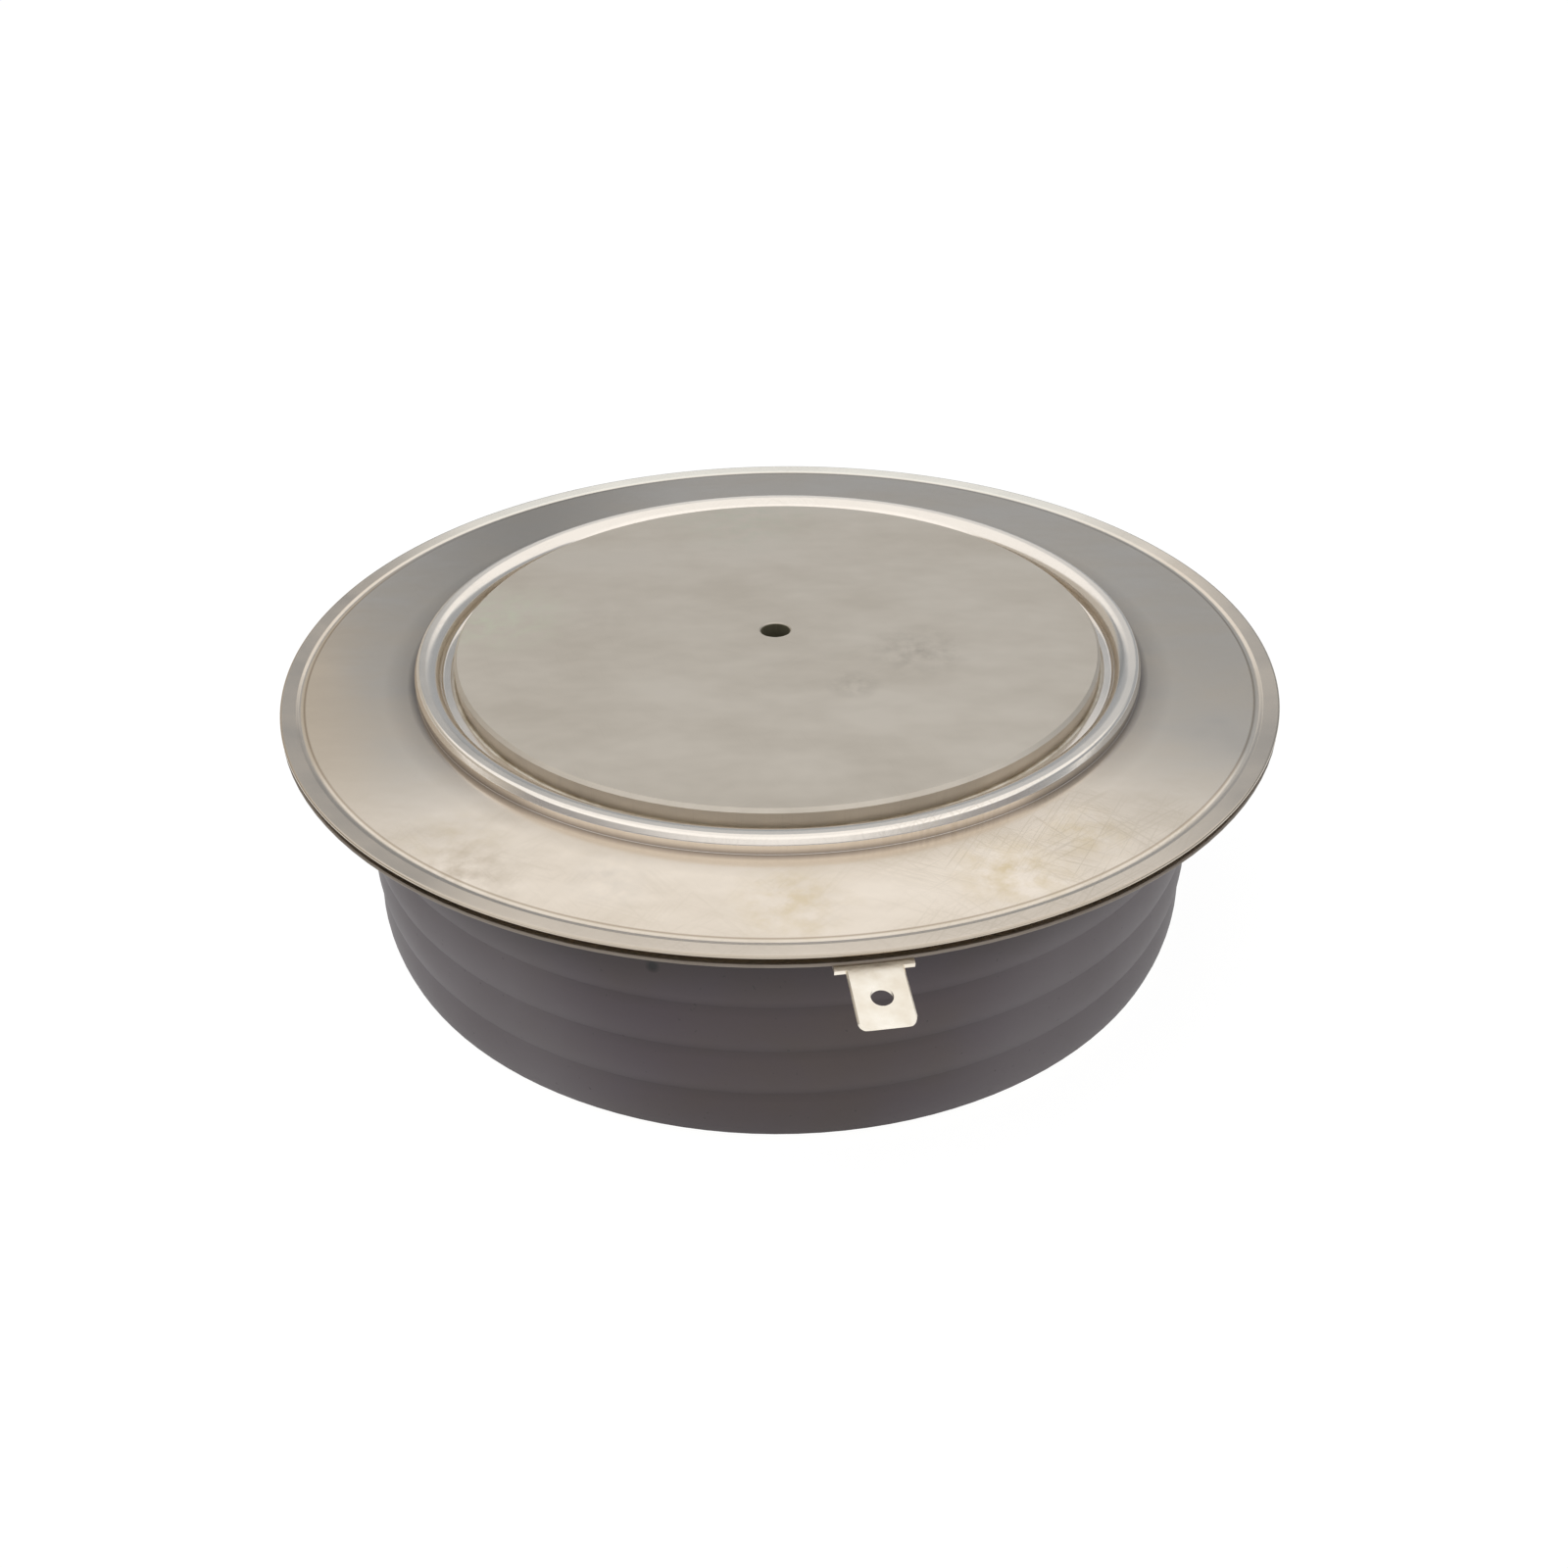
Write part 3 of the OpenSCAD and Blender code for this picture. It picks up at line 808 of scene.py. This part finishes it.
@dataclass
class FilletRing:
    """A ring of metal that has flowed into the corner between a round wall and a flat face."""

    name: str
    wall_r_mm: float
    face_at_mm: float
    toward: float
    size_mm: float
    axis: Axis = Axis.VERTICAL
    centre_z_mm: float = 0.0
    bite_mm: float = 0.04
    hollow: float = 0.08
    steps: int = 160
    arc_steps: int = 6

    def build(self, finish: Finish, slot: str) -> None:
        """Models the ring: a corner block with a hollow bevel, spun round the axis.

        Args:
            finish: The metal of the fillet.
            slot: The record's material slot.
        """
        low = self.face_at_mm - self.toward * self.bite_mm
        high = self.face_at_mm + self.toward * self.size_mm
        inner = self.wall_r_mm - self.bite_mm
        outer = self.wall_r_mm + self.size_mm
        clear_selection()
        bpy.ops.mesh.primitive_plane_add(size=1.0)
        block = bpy.context.active_object
        for corner in block.data.vertices:
            across = inner if corner.co.x < 0 else outer
            along = low if corner.co.y < 0 else high
            corner.co = (across * MM, 0.0, along * MM)
        with editing(block):
            far = Vector((outer * MM, 0.0, high * MM))
            select_corners(block, lambda place: (place - far).length < self.bite_mm * MM / 2)
            bpy.ops.mesh.bevel(
                offset=self.size_mm * MM, segments=self.arc_steps, profile=self.hollow, affect="VERTICES")
            bpy.ops.mesh.select_all(action="SELECT")
            bpy.ops.mesh.delete(type="ONLY_FACE")
            spin_closed(self.steps, self.bite_mm / 10)
        block.rotation_euler.x = self.axis.value
        block.location.z = self.centre_z_mm * MM
        complete(block, self.name, finish, slot, 50.0)


class Wire:
    """A half section drawn from point to point in the XZ plane, as a wire of edges."""

    merge_mm: ClassVar[float] = 0.001

    def __init__(self, start_mm: Pair) -> None:
        """Starts the wire as one vertex, and leaves it in edit mode.

        Args:
            start_mm: Radius and height of the first point.
        """
        clear_selection()
        bpy.ops.mesh.primitive_plane_add(size=MM)
        self.piece = bpy.context.active_object
        self.end = Vector(start_mm)
        bpy.ops.object.mode_set(mode="EDIT")
        bpy.ops.mesh.select_mode(type="VERT")
        bpy.ops.mesh.select_all(action="SELECT")
        bpy.ops.mesh.merge(type="CENTER")
        bpy.ops.transform.translate(value=(self.end.x * MM, 0.0, self.end.y * MM))

    def line(self, radius_mm: float, height_mm: float, guard_mm: float = 0.08) -> None:
        """Draws a straight stretch, with a point near each end that keeps its shading flat.

        Args:
            radius_mm: Radius of the far end.
            height_mm: Height of the far end.
            guard_mm: How far from the ends those points are.
        """
        start, goal = self.end, Vector((radius_mm, height_mm))
        length = (goal - start).length
        along = (goal - start) / length
        stops = [start + along * guard_mm, goal - along * guard_mm] if length > 4 * guard_mm else []
        for stop in (*stops, goal):
            step = (stop - self.end) * MM
            bpy.ops.mesh.extrude_region_move(TRANSFORM_OT_translate={"value": (step.x, 0.0, step.y)})
            self.end = stop

    def arc(self, centre_mm: Pair, sweep_deg: float, step_deg: float = 7.5) -> None:
        """Draws a round stretch about a centre; a positive sweep turns from outwards to upwards.

        Args:
            centre_mm: Radius and height of the arc's centre.
            sweep_deg: The angle that it turns through.
            step_deg: The longest step.
        """
        centre = Vector(centre_mm)
        steps = max(2, math.ceil(abs(sweep_deg) / step_deg))
        bpy.ops.mesh.spin(
            steps=steps, angle=math.radians(sweep_deg), center=(centre.x * MM, 0.0, centre.y * MM),
            axis=(0.0, 1.0, 0.0))
        turn = Matrix.Rotation(math.radians(sweep_deg), 2)
        self.end = centre + turn @ (self.end - centre)

    def revolve(self, steps: int) -> Piece:
        """Spins the wire round the capsule's axis into a closed ring.

        Args:
            steps: How many steps a full turn has.

        Returns:
            The ring, in object mode.
        """
        bpy.ops.mesh.select_all(action="SELECT")
        bpy.ops.mesh.remove_doubles(threshold=self.merge_mm * MM)
        spin_closed(steps, self.merge_mm)
        bpy.ops.object.mode_set(mode="OBJECT")
        return self.piece


@dataclass
class BeadedSheet:
    """A drawn flange: an inner rim, a bead with a round shoulder inwards, and a flat outer stretch."""

    under_mm: float
    leg_r_mm: float
    edge_r_mm: float
    bead_mm: float = 1.95
    bead_w_mm: float = 3.15
    crest_mm: float = 2.45
    shoulder_mm: float = 1.9
    bend_mm: float = 0.45
    foot_bend_mm: float = 0.3
    crown_deg: float = 5.0
    side_deg: float = 65.0
    fillet_mm: float = 0.25
    foot_fillet_mm: float = 0.05
    rim_gap_mm: float = 0.6
    steps: int = 288

    def bead(self, wire: Wire, inset_mm: float, outwards: bool) -> None:
        """Draws the bead's arch between its two legs.

        Args:
            wire: The half section so far, at the arch's near foot.
            inset_mm: How far inside the outer surface this line runs.
            outwards: Whether it runs from the inner leg to the outer one.
        """
        tilt, lean = math.radians(self.crown_deg), math.radians(self.side_deg)
        crown = Vector((-math.sin(tilt), math.cos(tilt)))
        side = Vector((math.sin(lean), math.cos(lean)))
        wall = self.leg_r_mm + self.bead_w_mm
        top = self.under_mm + SHEET_MM + self.bead_mm
        outer = Vector((self.leg_r_mm + self.crest_mm, top - self.bend_mm))
        inner = Vector((self.leg_r_mm + self.shoulder_mm, 0.0))
        inner.y = (
            outer.y + (self.bend_mm - self.shoulder_mm) * crown.y - (outer.x - inner.x) * math.tan(tilt))
        if outwards:
            foot_x = wall - self.foot_bend_mm
            across = outer.dot(side) + self.bend_mm - self.foot_bend_mm
            foot = Vector((foot_x, (across - foot_x * side.x) / side.y))
            self.shoulder(wire, inner)
            wire.line(*(outer + crown * self.bend_mm))
            wire.arc(outer, -self.crown_deg - self.side_deg, 5.0)
            wire.line(*(foot + side * self.foot_bend_mm))
            wire.arc(foot, self.side_deg - 90.0)
        else:
            bend = self.bend_mm - inset_mm
            across = outer.dot(side) + bend
            wire.line(wall - inset_mm, (across - (wall - inset_mm) * side.x) / side.y)
            wire.line(*(outer + side * bend))
            wire.arc(outer, self.crown_deg + self.side_deg, 15.0)
            wire.line(*(inner + crown * (self.shoulder_mm - inset_mm)))
            wire.arc(inner, 90.0 - self.crown_deg)

    def shoulder(self, wire: Wire, centre: Vector) -> None:
        """Draws the inner rim's upper side, the fillet at its end and the shoulder's round.

        Args:
            wire: The half section so far, at the inner rim.
            centre: Radius and height of the shoulder's centre.
        """
        top = self.under_mm + SHEET_MM
        rise = top + self.fillet_mm - centre.y
        reach = math.sqrt((self.shoulder_mm + self.fillet_mm) ** 2 - rise ** 2)
        lean = math.degrees(math.atan2(rise, reach))
        foot = centre.x - reach
        wire.line(foot, top)
        wire.arc((foot, top + self.fillet_mm), 90.0 - lean, 10.0)
        wire.arc(centre, lean + self.crown_deg - 90.0, 5.0)

    def draw(self, finish_outer: Callable[[Wire], None]) -> Piece:
        """Draws the whole half section and revolves it.

        Args:
            finish_outer: Draws what lies beyond the bead's outer foot, and comes back below it.

        Returns:
            The closed ring.
        """
        top = self.under_mm + SHEET_MM
        inner_rim = CONTACT_R_MM + self.rim_gap_mm
        wall = self.leg_r_mm + self.bead_w_mm
        wire = Wire((inner_rim, top))
        self.bead(wire, 0.0, True)
        wire.line(wall, top + self.foot_fillet_mm)
        wire.arc((wall + self.foot_fillet_mm, top + self.foot_fillet_mm), 90.0, 15.0)
        finish_outer(wire)
        wire.line(wall - SHEET_MM, self.under_mm)
        self.bead(wire, SHEET_MM, False)
        wire.line(wire.end.x, self.under_mm)
        wire.line(inner_rim, self.under_mm)
        wire.line(inner_rim, top)
        return wire.revolve(self.steps)


@dataclass
class Assembly:
    """A part of the capsule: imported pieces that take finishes, and new pieces on them."""

    finishes: ClassVar[dict[str, Finish]] = {}

    def dress(self) -> None:
        """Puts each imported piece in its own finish."""
        for name, finish in self.finishes.items():
            finish.dress(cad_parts[name])
            LOG.info("%s: dressed in %s", name, finish.name)

    def build(self) -> None:
        """Models the new pieces, where the assembly has any."""


@dataclass
class Lid(Assembly):
    """The cathode side as the camera sees it: the beaded flange and the contact face inside it."""

    finishes = {"cathode_pole_piece": CONTACT_FACE}
    leg_r_mm: float = 41.1
    lip_rise_mm: float = 0.2
    weld_w_mm: float = 0.8
    groove_mm: float = 0.06
    nugget_mm: float = 0.45
    dent_deg: float = 33.0
    dent_mm: float = 0.3
    dent_from_edge_mm: float = 0.9
    dent_core_mm: float = 0.5
    dent_reach_mm: float = 0.9

    def build(self) -> None:
        """Models the drawn lid sheet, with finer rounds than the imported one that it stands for."""
        sheet = BeadedSheet(LID_MM - SHEET_MM, self.leg_r_mm, RIM_R_MM - SHEET_MM / 2)
        ring = sheet.draw(lambda wire: self.lip(wire, sheet))
        self.dent(ring, sheet.edge_r_mm)
        complete(ring, "drawn_lid_sheet", LID_SHEET, "lid_sheet", 30.0)
        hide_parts("lid_flange")

    def lip(self, wire: Wire, sheet: BeadedSheet) -> None:
        """Draws the flat stretch, the weld groove, the lip that rises past it and the weld below.

        Args:
            wire: The half section so far, at the bead's outer foot.
            sheet: The sheet's sizes.
        """
        half = self.weld_w_mm / 2
        radius = (half ** 2 + self.groove_mm ** 2) / (2 * self.groove_mm)
        centre = Vector((WELD_R_MM, LID_MM - self.groove_mm + radius))
        slope = self.lip_rise_mm / (sheet.edge_r_mm - WELD_R_MM)
        drop = radius - self.groove_mm
        square = 1 + slope ** 2
        reach = (slope * drop + math.sqrt((slope * drop) ** 2 + square * half ** 2)) / square
        start = math.atan2(-drop, -half)
        end = math.atan2(reach * slope - drop, reach)
        under = sheet.under_mm
        wire.line(WELD_R_MM - half, LID_MM)
        wire.arc(centre, math.degrees(end - start))
        wire.line(sheet.edge_r_mm, LID_MM + self.lip_rise_mm)
        wire.arc((sheet.edge_r_mm, LID_MM + self.lip_rise_mm - SHEET_MM / 2), -180.0, 12.0)
        wire.line(WELD_R_MM + half, under + half * slope)
        wire.line(WELD_R_MM + half, under - self.nugget_mm)
        wire.line(WELD_R_MM - half, under - self.nugget_mm)
        wire.line(WELD_R_MM - half, under)

    def dent(self, ring: Piece, edge_mm: float) -> None:
        """Presses the small dent into the lip that the rim has at its right.

        Args:
            ring: The revolved sheet.
            edge_mm: Radius of the lip's edge.
        """
        turn = math.radians(self.dent_deg)
        spot = Vector((math.cos(turn), math.sin(turn), 0.0)) * (edge_mm - self.dent_from_edge_mm) * MM
        spot.z = (LID_MM + self.lip_rise_mm) * MM
        with editing(ring):
            bpy.ops.mesh.select_mode(type="VERT")
            select_corners(ring, lambda place: (place - spot).length < self.dent_core_mm * MM)
            bpy.ops.transform.translate(
                value=(0.0, 0.0, -self.dent_mm * MM), use_proportional_edit=True,
                proportional_edit_falloff="SMOOTH", proportional_size=self.dent_reach_mm * MM)


@dataclass
class Housing(Assembly):
    """The ceramic ring between its two brazed flanges, and the anode block below."""

    finishes = {"ceramic_ring": GLAZE, "weld_flange": FLANGE_SHEET, "anode_pole_piece": TURNED_BLOCK}
    fillet_mm: float = 0.5
    neck_fillet_mm: float = 0.35
    rib_depth_mm: float = 0.5
    anode_leg_r_mm: float = 41.5

    def build(self) -> None:
        """Models the anode sheet and the braze."""
        self.build_anode_sheet()
        self.build_braze()

    def build_anode_sheet(self) -> None:
        """Models the drawn anode flange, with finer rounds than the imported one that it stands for."""
        low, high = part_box("anode_flange")
        sheet = BeadedSheet(low.z / MM, self.anode_leg_r_mm, high.x / MM - SHEET_MM / 2)

        def edge(wire: Wire) -> None:
            """Draws the flat stretch and its round edge."""
            wire.line(sheet.edge_r_mm, sheet.under_mm + SHEET_MM)
            wire.arc((sheet.edge_r_mm, sheet.under_mm + SHEET_MM / 2), -180.0, 12.0)

        ring = sheet.draw(edge)
        complete(ring, "drawn_anode_sheet", ANODE_SHEET, "flange_sheet", 30.0)
        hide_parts("anode_flange")

    def build_braze(self) -> None:
        """Models the braze fillets that join the ceramic and the pole pieces to their flanges."""
        low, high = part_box("ceramic_ring")
        sheet_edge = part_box("anode_flange")[1].x / MM - SHEET_MM / 2
        for name, wall, face, toward, size in (
            ("upper_braze_fillet", high.x / MM - self.rib_depth_mm, high.z / MM, -1.0, self.fillet_mm),
            ("lower_braze_fillet", sheet_edge, low.z / MM, -1.0, self.fillet_mm),
            ("anode_neck_braze", CONTACT_R_MM, low.z / MM, -1.0, self.neck_fillet_mm),
            ("cathode_neck_braze", CONTACT_R_MM, LID_MM - SHEET_MM, 1.0, self.neck_fillet_mm),
        ):
            FilletRing(name, wall, face, toward, size).build(BRAZE, "silver")


@dataclass
class CathodeTerminal(Assembly):
    """The spade blade under the rim, and the spot welds that hold its root."""

    finishes = {"cathode_blade": BLADE}
    spot_r_mm: float = 0.7
    spot_rise_mm: float = 0.06
    spot_bite_mm: float = 0.04
    spot_gap_mm: float = 3.4
    spot_steps: int = 48
    dish_shares: Pair = (0.25, 0.2)
    edge_share: float = 0.9
    root_from_rim_mm: float = 1.6
    azimuth_deg: float = 8.3

    def build(self) -> None:
        """Models the two spot welds: dished nuggets under the blade's root."""
        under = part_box("cathode_blade")[1].z / MM - BLADE_MM
        turn = math.radians(self.azimuth_deg)
        reach = RIM_R_MM - self.root_from_rim_mm
        for number, side in enumerate((-1.0, 1.0), 1):
            across = side * self.spot_gap_mm / 2
            centre = Vector((
                reach * math.sin(turn) + across * math.cos(turn),
                -reach * math.cos(turn) + across * math.sin(turn),
                under - self.spot_rise_mm / 2 + self.spot_bite_mm / 2,
            ))
            self.build_spot(f"spot_weld_{number}", centre)

    def build_spot(self, name: str, centre_mm: Vector) -> None:
        """Models one nugget: a low disc with a rounded edge and a dished middle.

        Args:
            name: The piece's name.
            centre_mm: The middle of the disc.
        """
        depth = (self.spot_rise_mm + self.spot_bite_mm) * MM
        half = depth / 2
        clear_selection()
        bpy.ops.mesh.primitive_cylinder_add(
            vertices=self.spot_steps, radius=self.spot_r_mm * MM, depth=depth, location=centre_mm * MM)
        nugget = bpy.context.active_object
        with editing(nugget):
            bpy.ops.mesh.select_mode(type="FACE")
            bpy.ops.object.mode_set(mode="OBJECT")
            for face in nugget.data.polygons:
                face.select = face.normal.z < -self.edge_share
            bpy.ops.object.mode_set(mode="EDIT")
            for share in self.dish_shares:
                bpy.ops.mesh.inset(thickness=self.spot_r_mm * MM * share)
            bpy.ops.transform.translate(value=(0.0, 0.0, half))
            bpy.ops.mesh.select_mode(type="VERT")
            rim, foot = self.spot_r_mm * MM * self.edge_share, -half * self.edge_share
            select_corners(nugget, lambda place: place.z < foot and place.xy.length > rim)
            bpy.ops.mesh.bevel(offset=half, segments=3)
        complete(nugget, name, BLADE, "blade_nickel", 50.0)


@dataclass
class GateTerminal(Assembly):
    """The gate tube through the ceramic, the spade blade on it, and the solder that joins them."""

    finishes = {"gate_blade": BLADE, "gate_tube": TUBE}
    braze_at_mm: float = 52.2
    braze_mm: float = 0.7
    solder_mm: float = 0.5
    steps: int = 48

    def build(self) -> None:
        """Models the solder round the tube at the blade, and the braze where it leaves the glaze."""
        low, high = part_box("gate_tube")
        radius, height = (high.x - low.x) / 2 / MM, (low.z + high.z) / 2 / MM
        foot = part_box("gate_blade")[0].y / MM + BLADE_MM
        for name, face, size, finish, slot in (
            ("gate_solder", foot, self.solder_mm, SOLDER, "tube_nickel"),
            ("gate_tube_braze", self.braze_at_mm, self.braze_mm, BRAZE, "silver"),
        ):
            ring = FilletRing(name, radius, face, 1.0, size, Axis.GATE, height, steps=self.steps)
            ring.build(finish, slot)


@dataclass
class Inside(Assembly):
    """What the sealed capsule holds: the wafer stack and the gate contact."""

    finishes = {
        "anode_silver_foil": SILVER,
        "cathode_silver_foil": SILVER,
        "anode_molybdenum_disc": MOLYBDENUM,
        "cathode_molybdenum_disc": MOLYBDENUM,
        "silicon_wafer": SILICON,
        "wafer_edge_seal": SILICONE,
        "centring_ring": FLUOROPLASTIC,
        "gate_cup": FLUOROPLASTIC,
        "gate_guide_washer": FLUOROPLASTIC,
        "gate_lead_sleeve": FLUOROPLASTIC,
        "gate_spring": SPRING_STEEL,
        "gate_pin": SILVER,
        "gate_lead": SILVER,
    }


@dataclass
class Studio:
    """The pale floor, the grey wall, the soft light and the camera of the picture."""

    floor_m: float = 8.0
    floor_share: float = 0.85
    floor_glow: float = 1.1
    sky: float = 0.62
    lamp_w: float = 3.2
    lamp_m: Pair = (1.0, 0.8)
    lamp_at_m: Triple = (-0.35, -0.25, 1.1)
    wall_r_m: float = 2.5
    wall_steps: int = 96
    wall_deg: float = 33.0
    gap_deg: float = 29.0
    soft_deg: float = 1.2
    gap_from_deg: Pair = (-14.8, -11.0)
    gap_to_deg: Pair = (14.6, 15.8)
    wall_colour: str = "#A4A9AF"
    front_colour: str = "#929295"
    dim_deg: Pair = (-11.0, 8.0)
    dim: float = 0.33
    panel_deg: float = -20.2
    panel_soft_deg: float = 0.4
    panel_colour: str = "#BDB8B0"
    front_y_mm: Pair = (-100.0, -1000.0)
    front_from_deg: float = 12.0
    front_light: float = 1.12
    front_top_deg: float = 66.0
    camera_mm: Triple = (0.0, -159.16, 117.53)
    pitch_rad: float = 0.592
    yaw_rad: float = -0.0203
    roll_rad: float = -0.0104
    focal_mm: float = 32.95
    sensor_mm: float = 36.0
    clip_m: float = 0.01
    shift: Pair = (0.0230, 0.0062)

    def build_floor(self) -> None:
        """Lays a white floor that keeps the object's shadow and fades to white to the camera."""
        clear_selection()
        bpy.ops.mesh.primitive_plane_add(size=self.floor_m)
        floor = bpy.context.active_object
        floor.name = "studio_floor"
        paper = bpy.data.materials.new("white_paper_floor")
        nodes = Nodes(paper)
        share = nodes.add("Math", (nodes.seen_directly(), self.floor_share), operation="MULTIPLY")
        lit = nodes.add("BsdfDiffuse", {"Color": to_linear("#F4F4F4")})
        white = nodes.add("Emission", {"Color": to_linear("#FFFFFF"), "Strength": self.floor_glow})
        nodes.add("OutputMaterial", (nodes.add("MixShader", (share, lit, white)),))
        floor.data.materials.append(paper)
        floor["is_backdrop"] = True

    def build_world(self) -> None:
        """Makes a white sky that lights the object softly."""
        world = bpy.data.worlds.new("studio_sky")
        bpy.context.scene.world = world
        nodes = Nodes(world)
        strength = nodes.add("MapRange", (nodes.seen_directly(), 0.0, 1.0, self.sky, 1.0))
        light = nodes.add("Background", {"Color": to_linear("#FFFFFF"), "Strength": strength})
        nodes.add("OutputWorld", (light,))
        world.cycles.sampling_method = "NONE"

    def build_wall(self) -> None:
        """Stands a grey wall round the studio, which only reflections show."""
        top = self.wall_r_m * math.tan(math.radians(self.front_top_deg))
        clear_selection()
        bpy.ops.mesh.primitive_cylinder_add(
            vertices=self.wall_steps, radius=self.wall_r_m, depth=top, end_fill_type="NOTHING",
            location=(0, 0, top / 2))
        bpy.ops.object.transform_apply(location=True, rotation=True, scale=True)
        wall = bpy.context.active_object
        wall.name = "studio_wall"
        self.paint_wall(wall)
        for rays in ("camera", "diffuse", "shadow", "volume_scatter"):
            setattr(wall, "visible_" + rays, False)
        wall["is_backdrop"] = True

    def paint_wall(self, wall: Piece) -> None:
        """Gives the wall its soft upper edge, by the angle at which the lid sees it.

        The edge is lower behind the object. The wall is a little darker at the left, up to a pale
        panel, and behind the camera it is dark at the foot with a bright screen above.

        Args:
            wall: The wall's mesh.
        """
        grey = bpy.data.materials.new("grey_studio_wall")
        pattern = Pattern(grey)
        x_mm, y_mm, z_mm = (pattern.add("SeparateXYZ", (pattern.place,), axis) for axis in "XYZ")
        turn = pattern.add("Math", (x_mm, y_mm), operation="ARCTAN2")
        over_lid = pattern.add("Math", (z_mm, LID_MM), operation="SUBTRACT")
        slope = pattern.add("Math", (over_lid, self.wall_r_m / MM), operation="DIVIDE")
        rise = pattern.add("Math", (slope,), operation="ARCTANGENT")
        across, rise = (pattern.add("Math", (angle,), operation="DEGREES") for angle in (turn, rise))
        gap = pattern.overlap(
            pattern.add("MapRange", (across, *self.gap_from_deg)),
            pattern.add("MapRange", (across, *self.gap_to_deg, 1.0, 0.0)))
        front = pattern.add("MapRange", (y_mm, *self.front_y_mm), interpolation_type="SMOOTHSTEP")
        edge = pattern.raised(
            pattern.add("MapRange", (gap, 0.0, 1.0, self.wall_deg, self.gap_deg)),
            (front, self.front_from_deg - self.wall_deg))
        above = pattern.add("Math", (rise, edge), operation="SUBTRACT")
        white = pattern.add(
            "MapRange", (above, -self.soft_deg, self.soft_deg), interpolation_type="SMOOTHSTEP")
        middle, reach = self.dim_deg
        beside = pattern.add("Math", (across, middle), operation="SUBTRACT")
        away = pattern.add("Math", (beside,), operation="ABSOLUTE")
        dim = pattern.add("MapRange", (away, 0.0, reach, self.dim, 0.0), interpolation_type="SMOOTHSTEP")
        panel_from, panel_to = self.panel_deg + self.panel_soft_deg, self.panel_deg - self.panel_soft_deg
        panel = pattern.add("MapRange", (across, panel_from, panel_to))
        colour = pattern.paint(
            self.wall_colour, (dim, "#000000"), (panel, self.panel_colour), (front, self.front_colour),
            (white, "#FFFFFF"))
        screen = pattern.overlap(white, front)
        power = pattern.add("MapRange", (screen, 0.0, 1.0, 1.0, self.front_light))
        light = pattern.add("Emission", {"Color": colour, "Strength": power})
        pattern.add("OutputMaterial", (light,))
        wall.data.materials.append(grey)

    def build_lamp(self) -> None:
        """Hangs one large soft lamp above the object."""
        lamp = bpy.data.lights.new("soft_box", "AREA")
        lamp.shape = "RECTANGLE"
        lamp.size, lamp.size_y = self.lamp_m
        lamp.energy = self.lamp_w
        holder = bpy.data.objects.new("soft_box", lamp)
        bpy.context.scene.collection.objects.link(holder)
        holder.location = self.lamp_at_m
        holder.visible_glossy = False
        holder.rotation_euler = (-Vector(self.lamp_at_m)).to_track_quat("-Z", "Y").to_euler()

    def build_camera(self) -> None:
        """Stands the camera where the photograph was taken from."""
        lens = bpy.data.cameras.new("camera")
        lens.sensor_width = self.sensor_mm
        lens.lens = self.focal_mm
        lens.shift_x, lens.shift_y = self.shift
        lens.clip_start = self.clip_m
        camera = bpy.data.objects.new("camera", lens)
        bpy.context.scene.collection.objects.link(camera)
        placed = Matrix.Translation(Vector(self.camera_mm) * MM)
        turns = {"X": math.pi / 2 - self.pitch_rad, "Y": -self.yaw_rad, "Z": self.roll_rad}
        for axis, angle in turns.items():
            placed = placed @ Matrix.Rotation(angle, 4, axis)
        camera.matrix_world = placed
        bpy.context.scene.camera = camera

    def build(self) -> None:
        """Sets up the whole studio."""
        bpy.context.scene.view_settings.view_transform = "Standard"
        self.build_camera()
        self.build_floor()
        self.build_world()
        self.build_wall()
        self.build_lamp()
        LOG.info("studio: camera, floor, sky, wall and lamp are set")


def main() -> None:
    """Builds the studio, then dresses and completes each sub-assembly."""
    logging.basicConfig(level=logging.INFO, format="%(name)s %(message)s")
    Studio().build()
    for assembly in (Lid(), Housing(), CathodeTerminal(), GateTerminal(), Inside()):
        assembly.dress()
        assembly.build()
    boxes = {"cad": CAD_BOX, "visual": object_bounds()}
    {name: [list(corner) for corner in box] for name, box in boxes.items()}


if __name__ == "__main__":
    main()
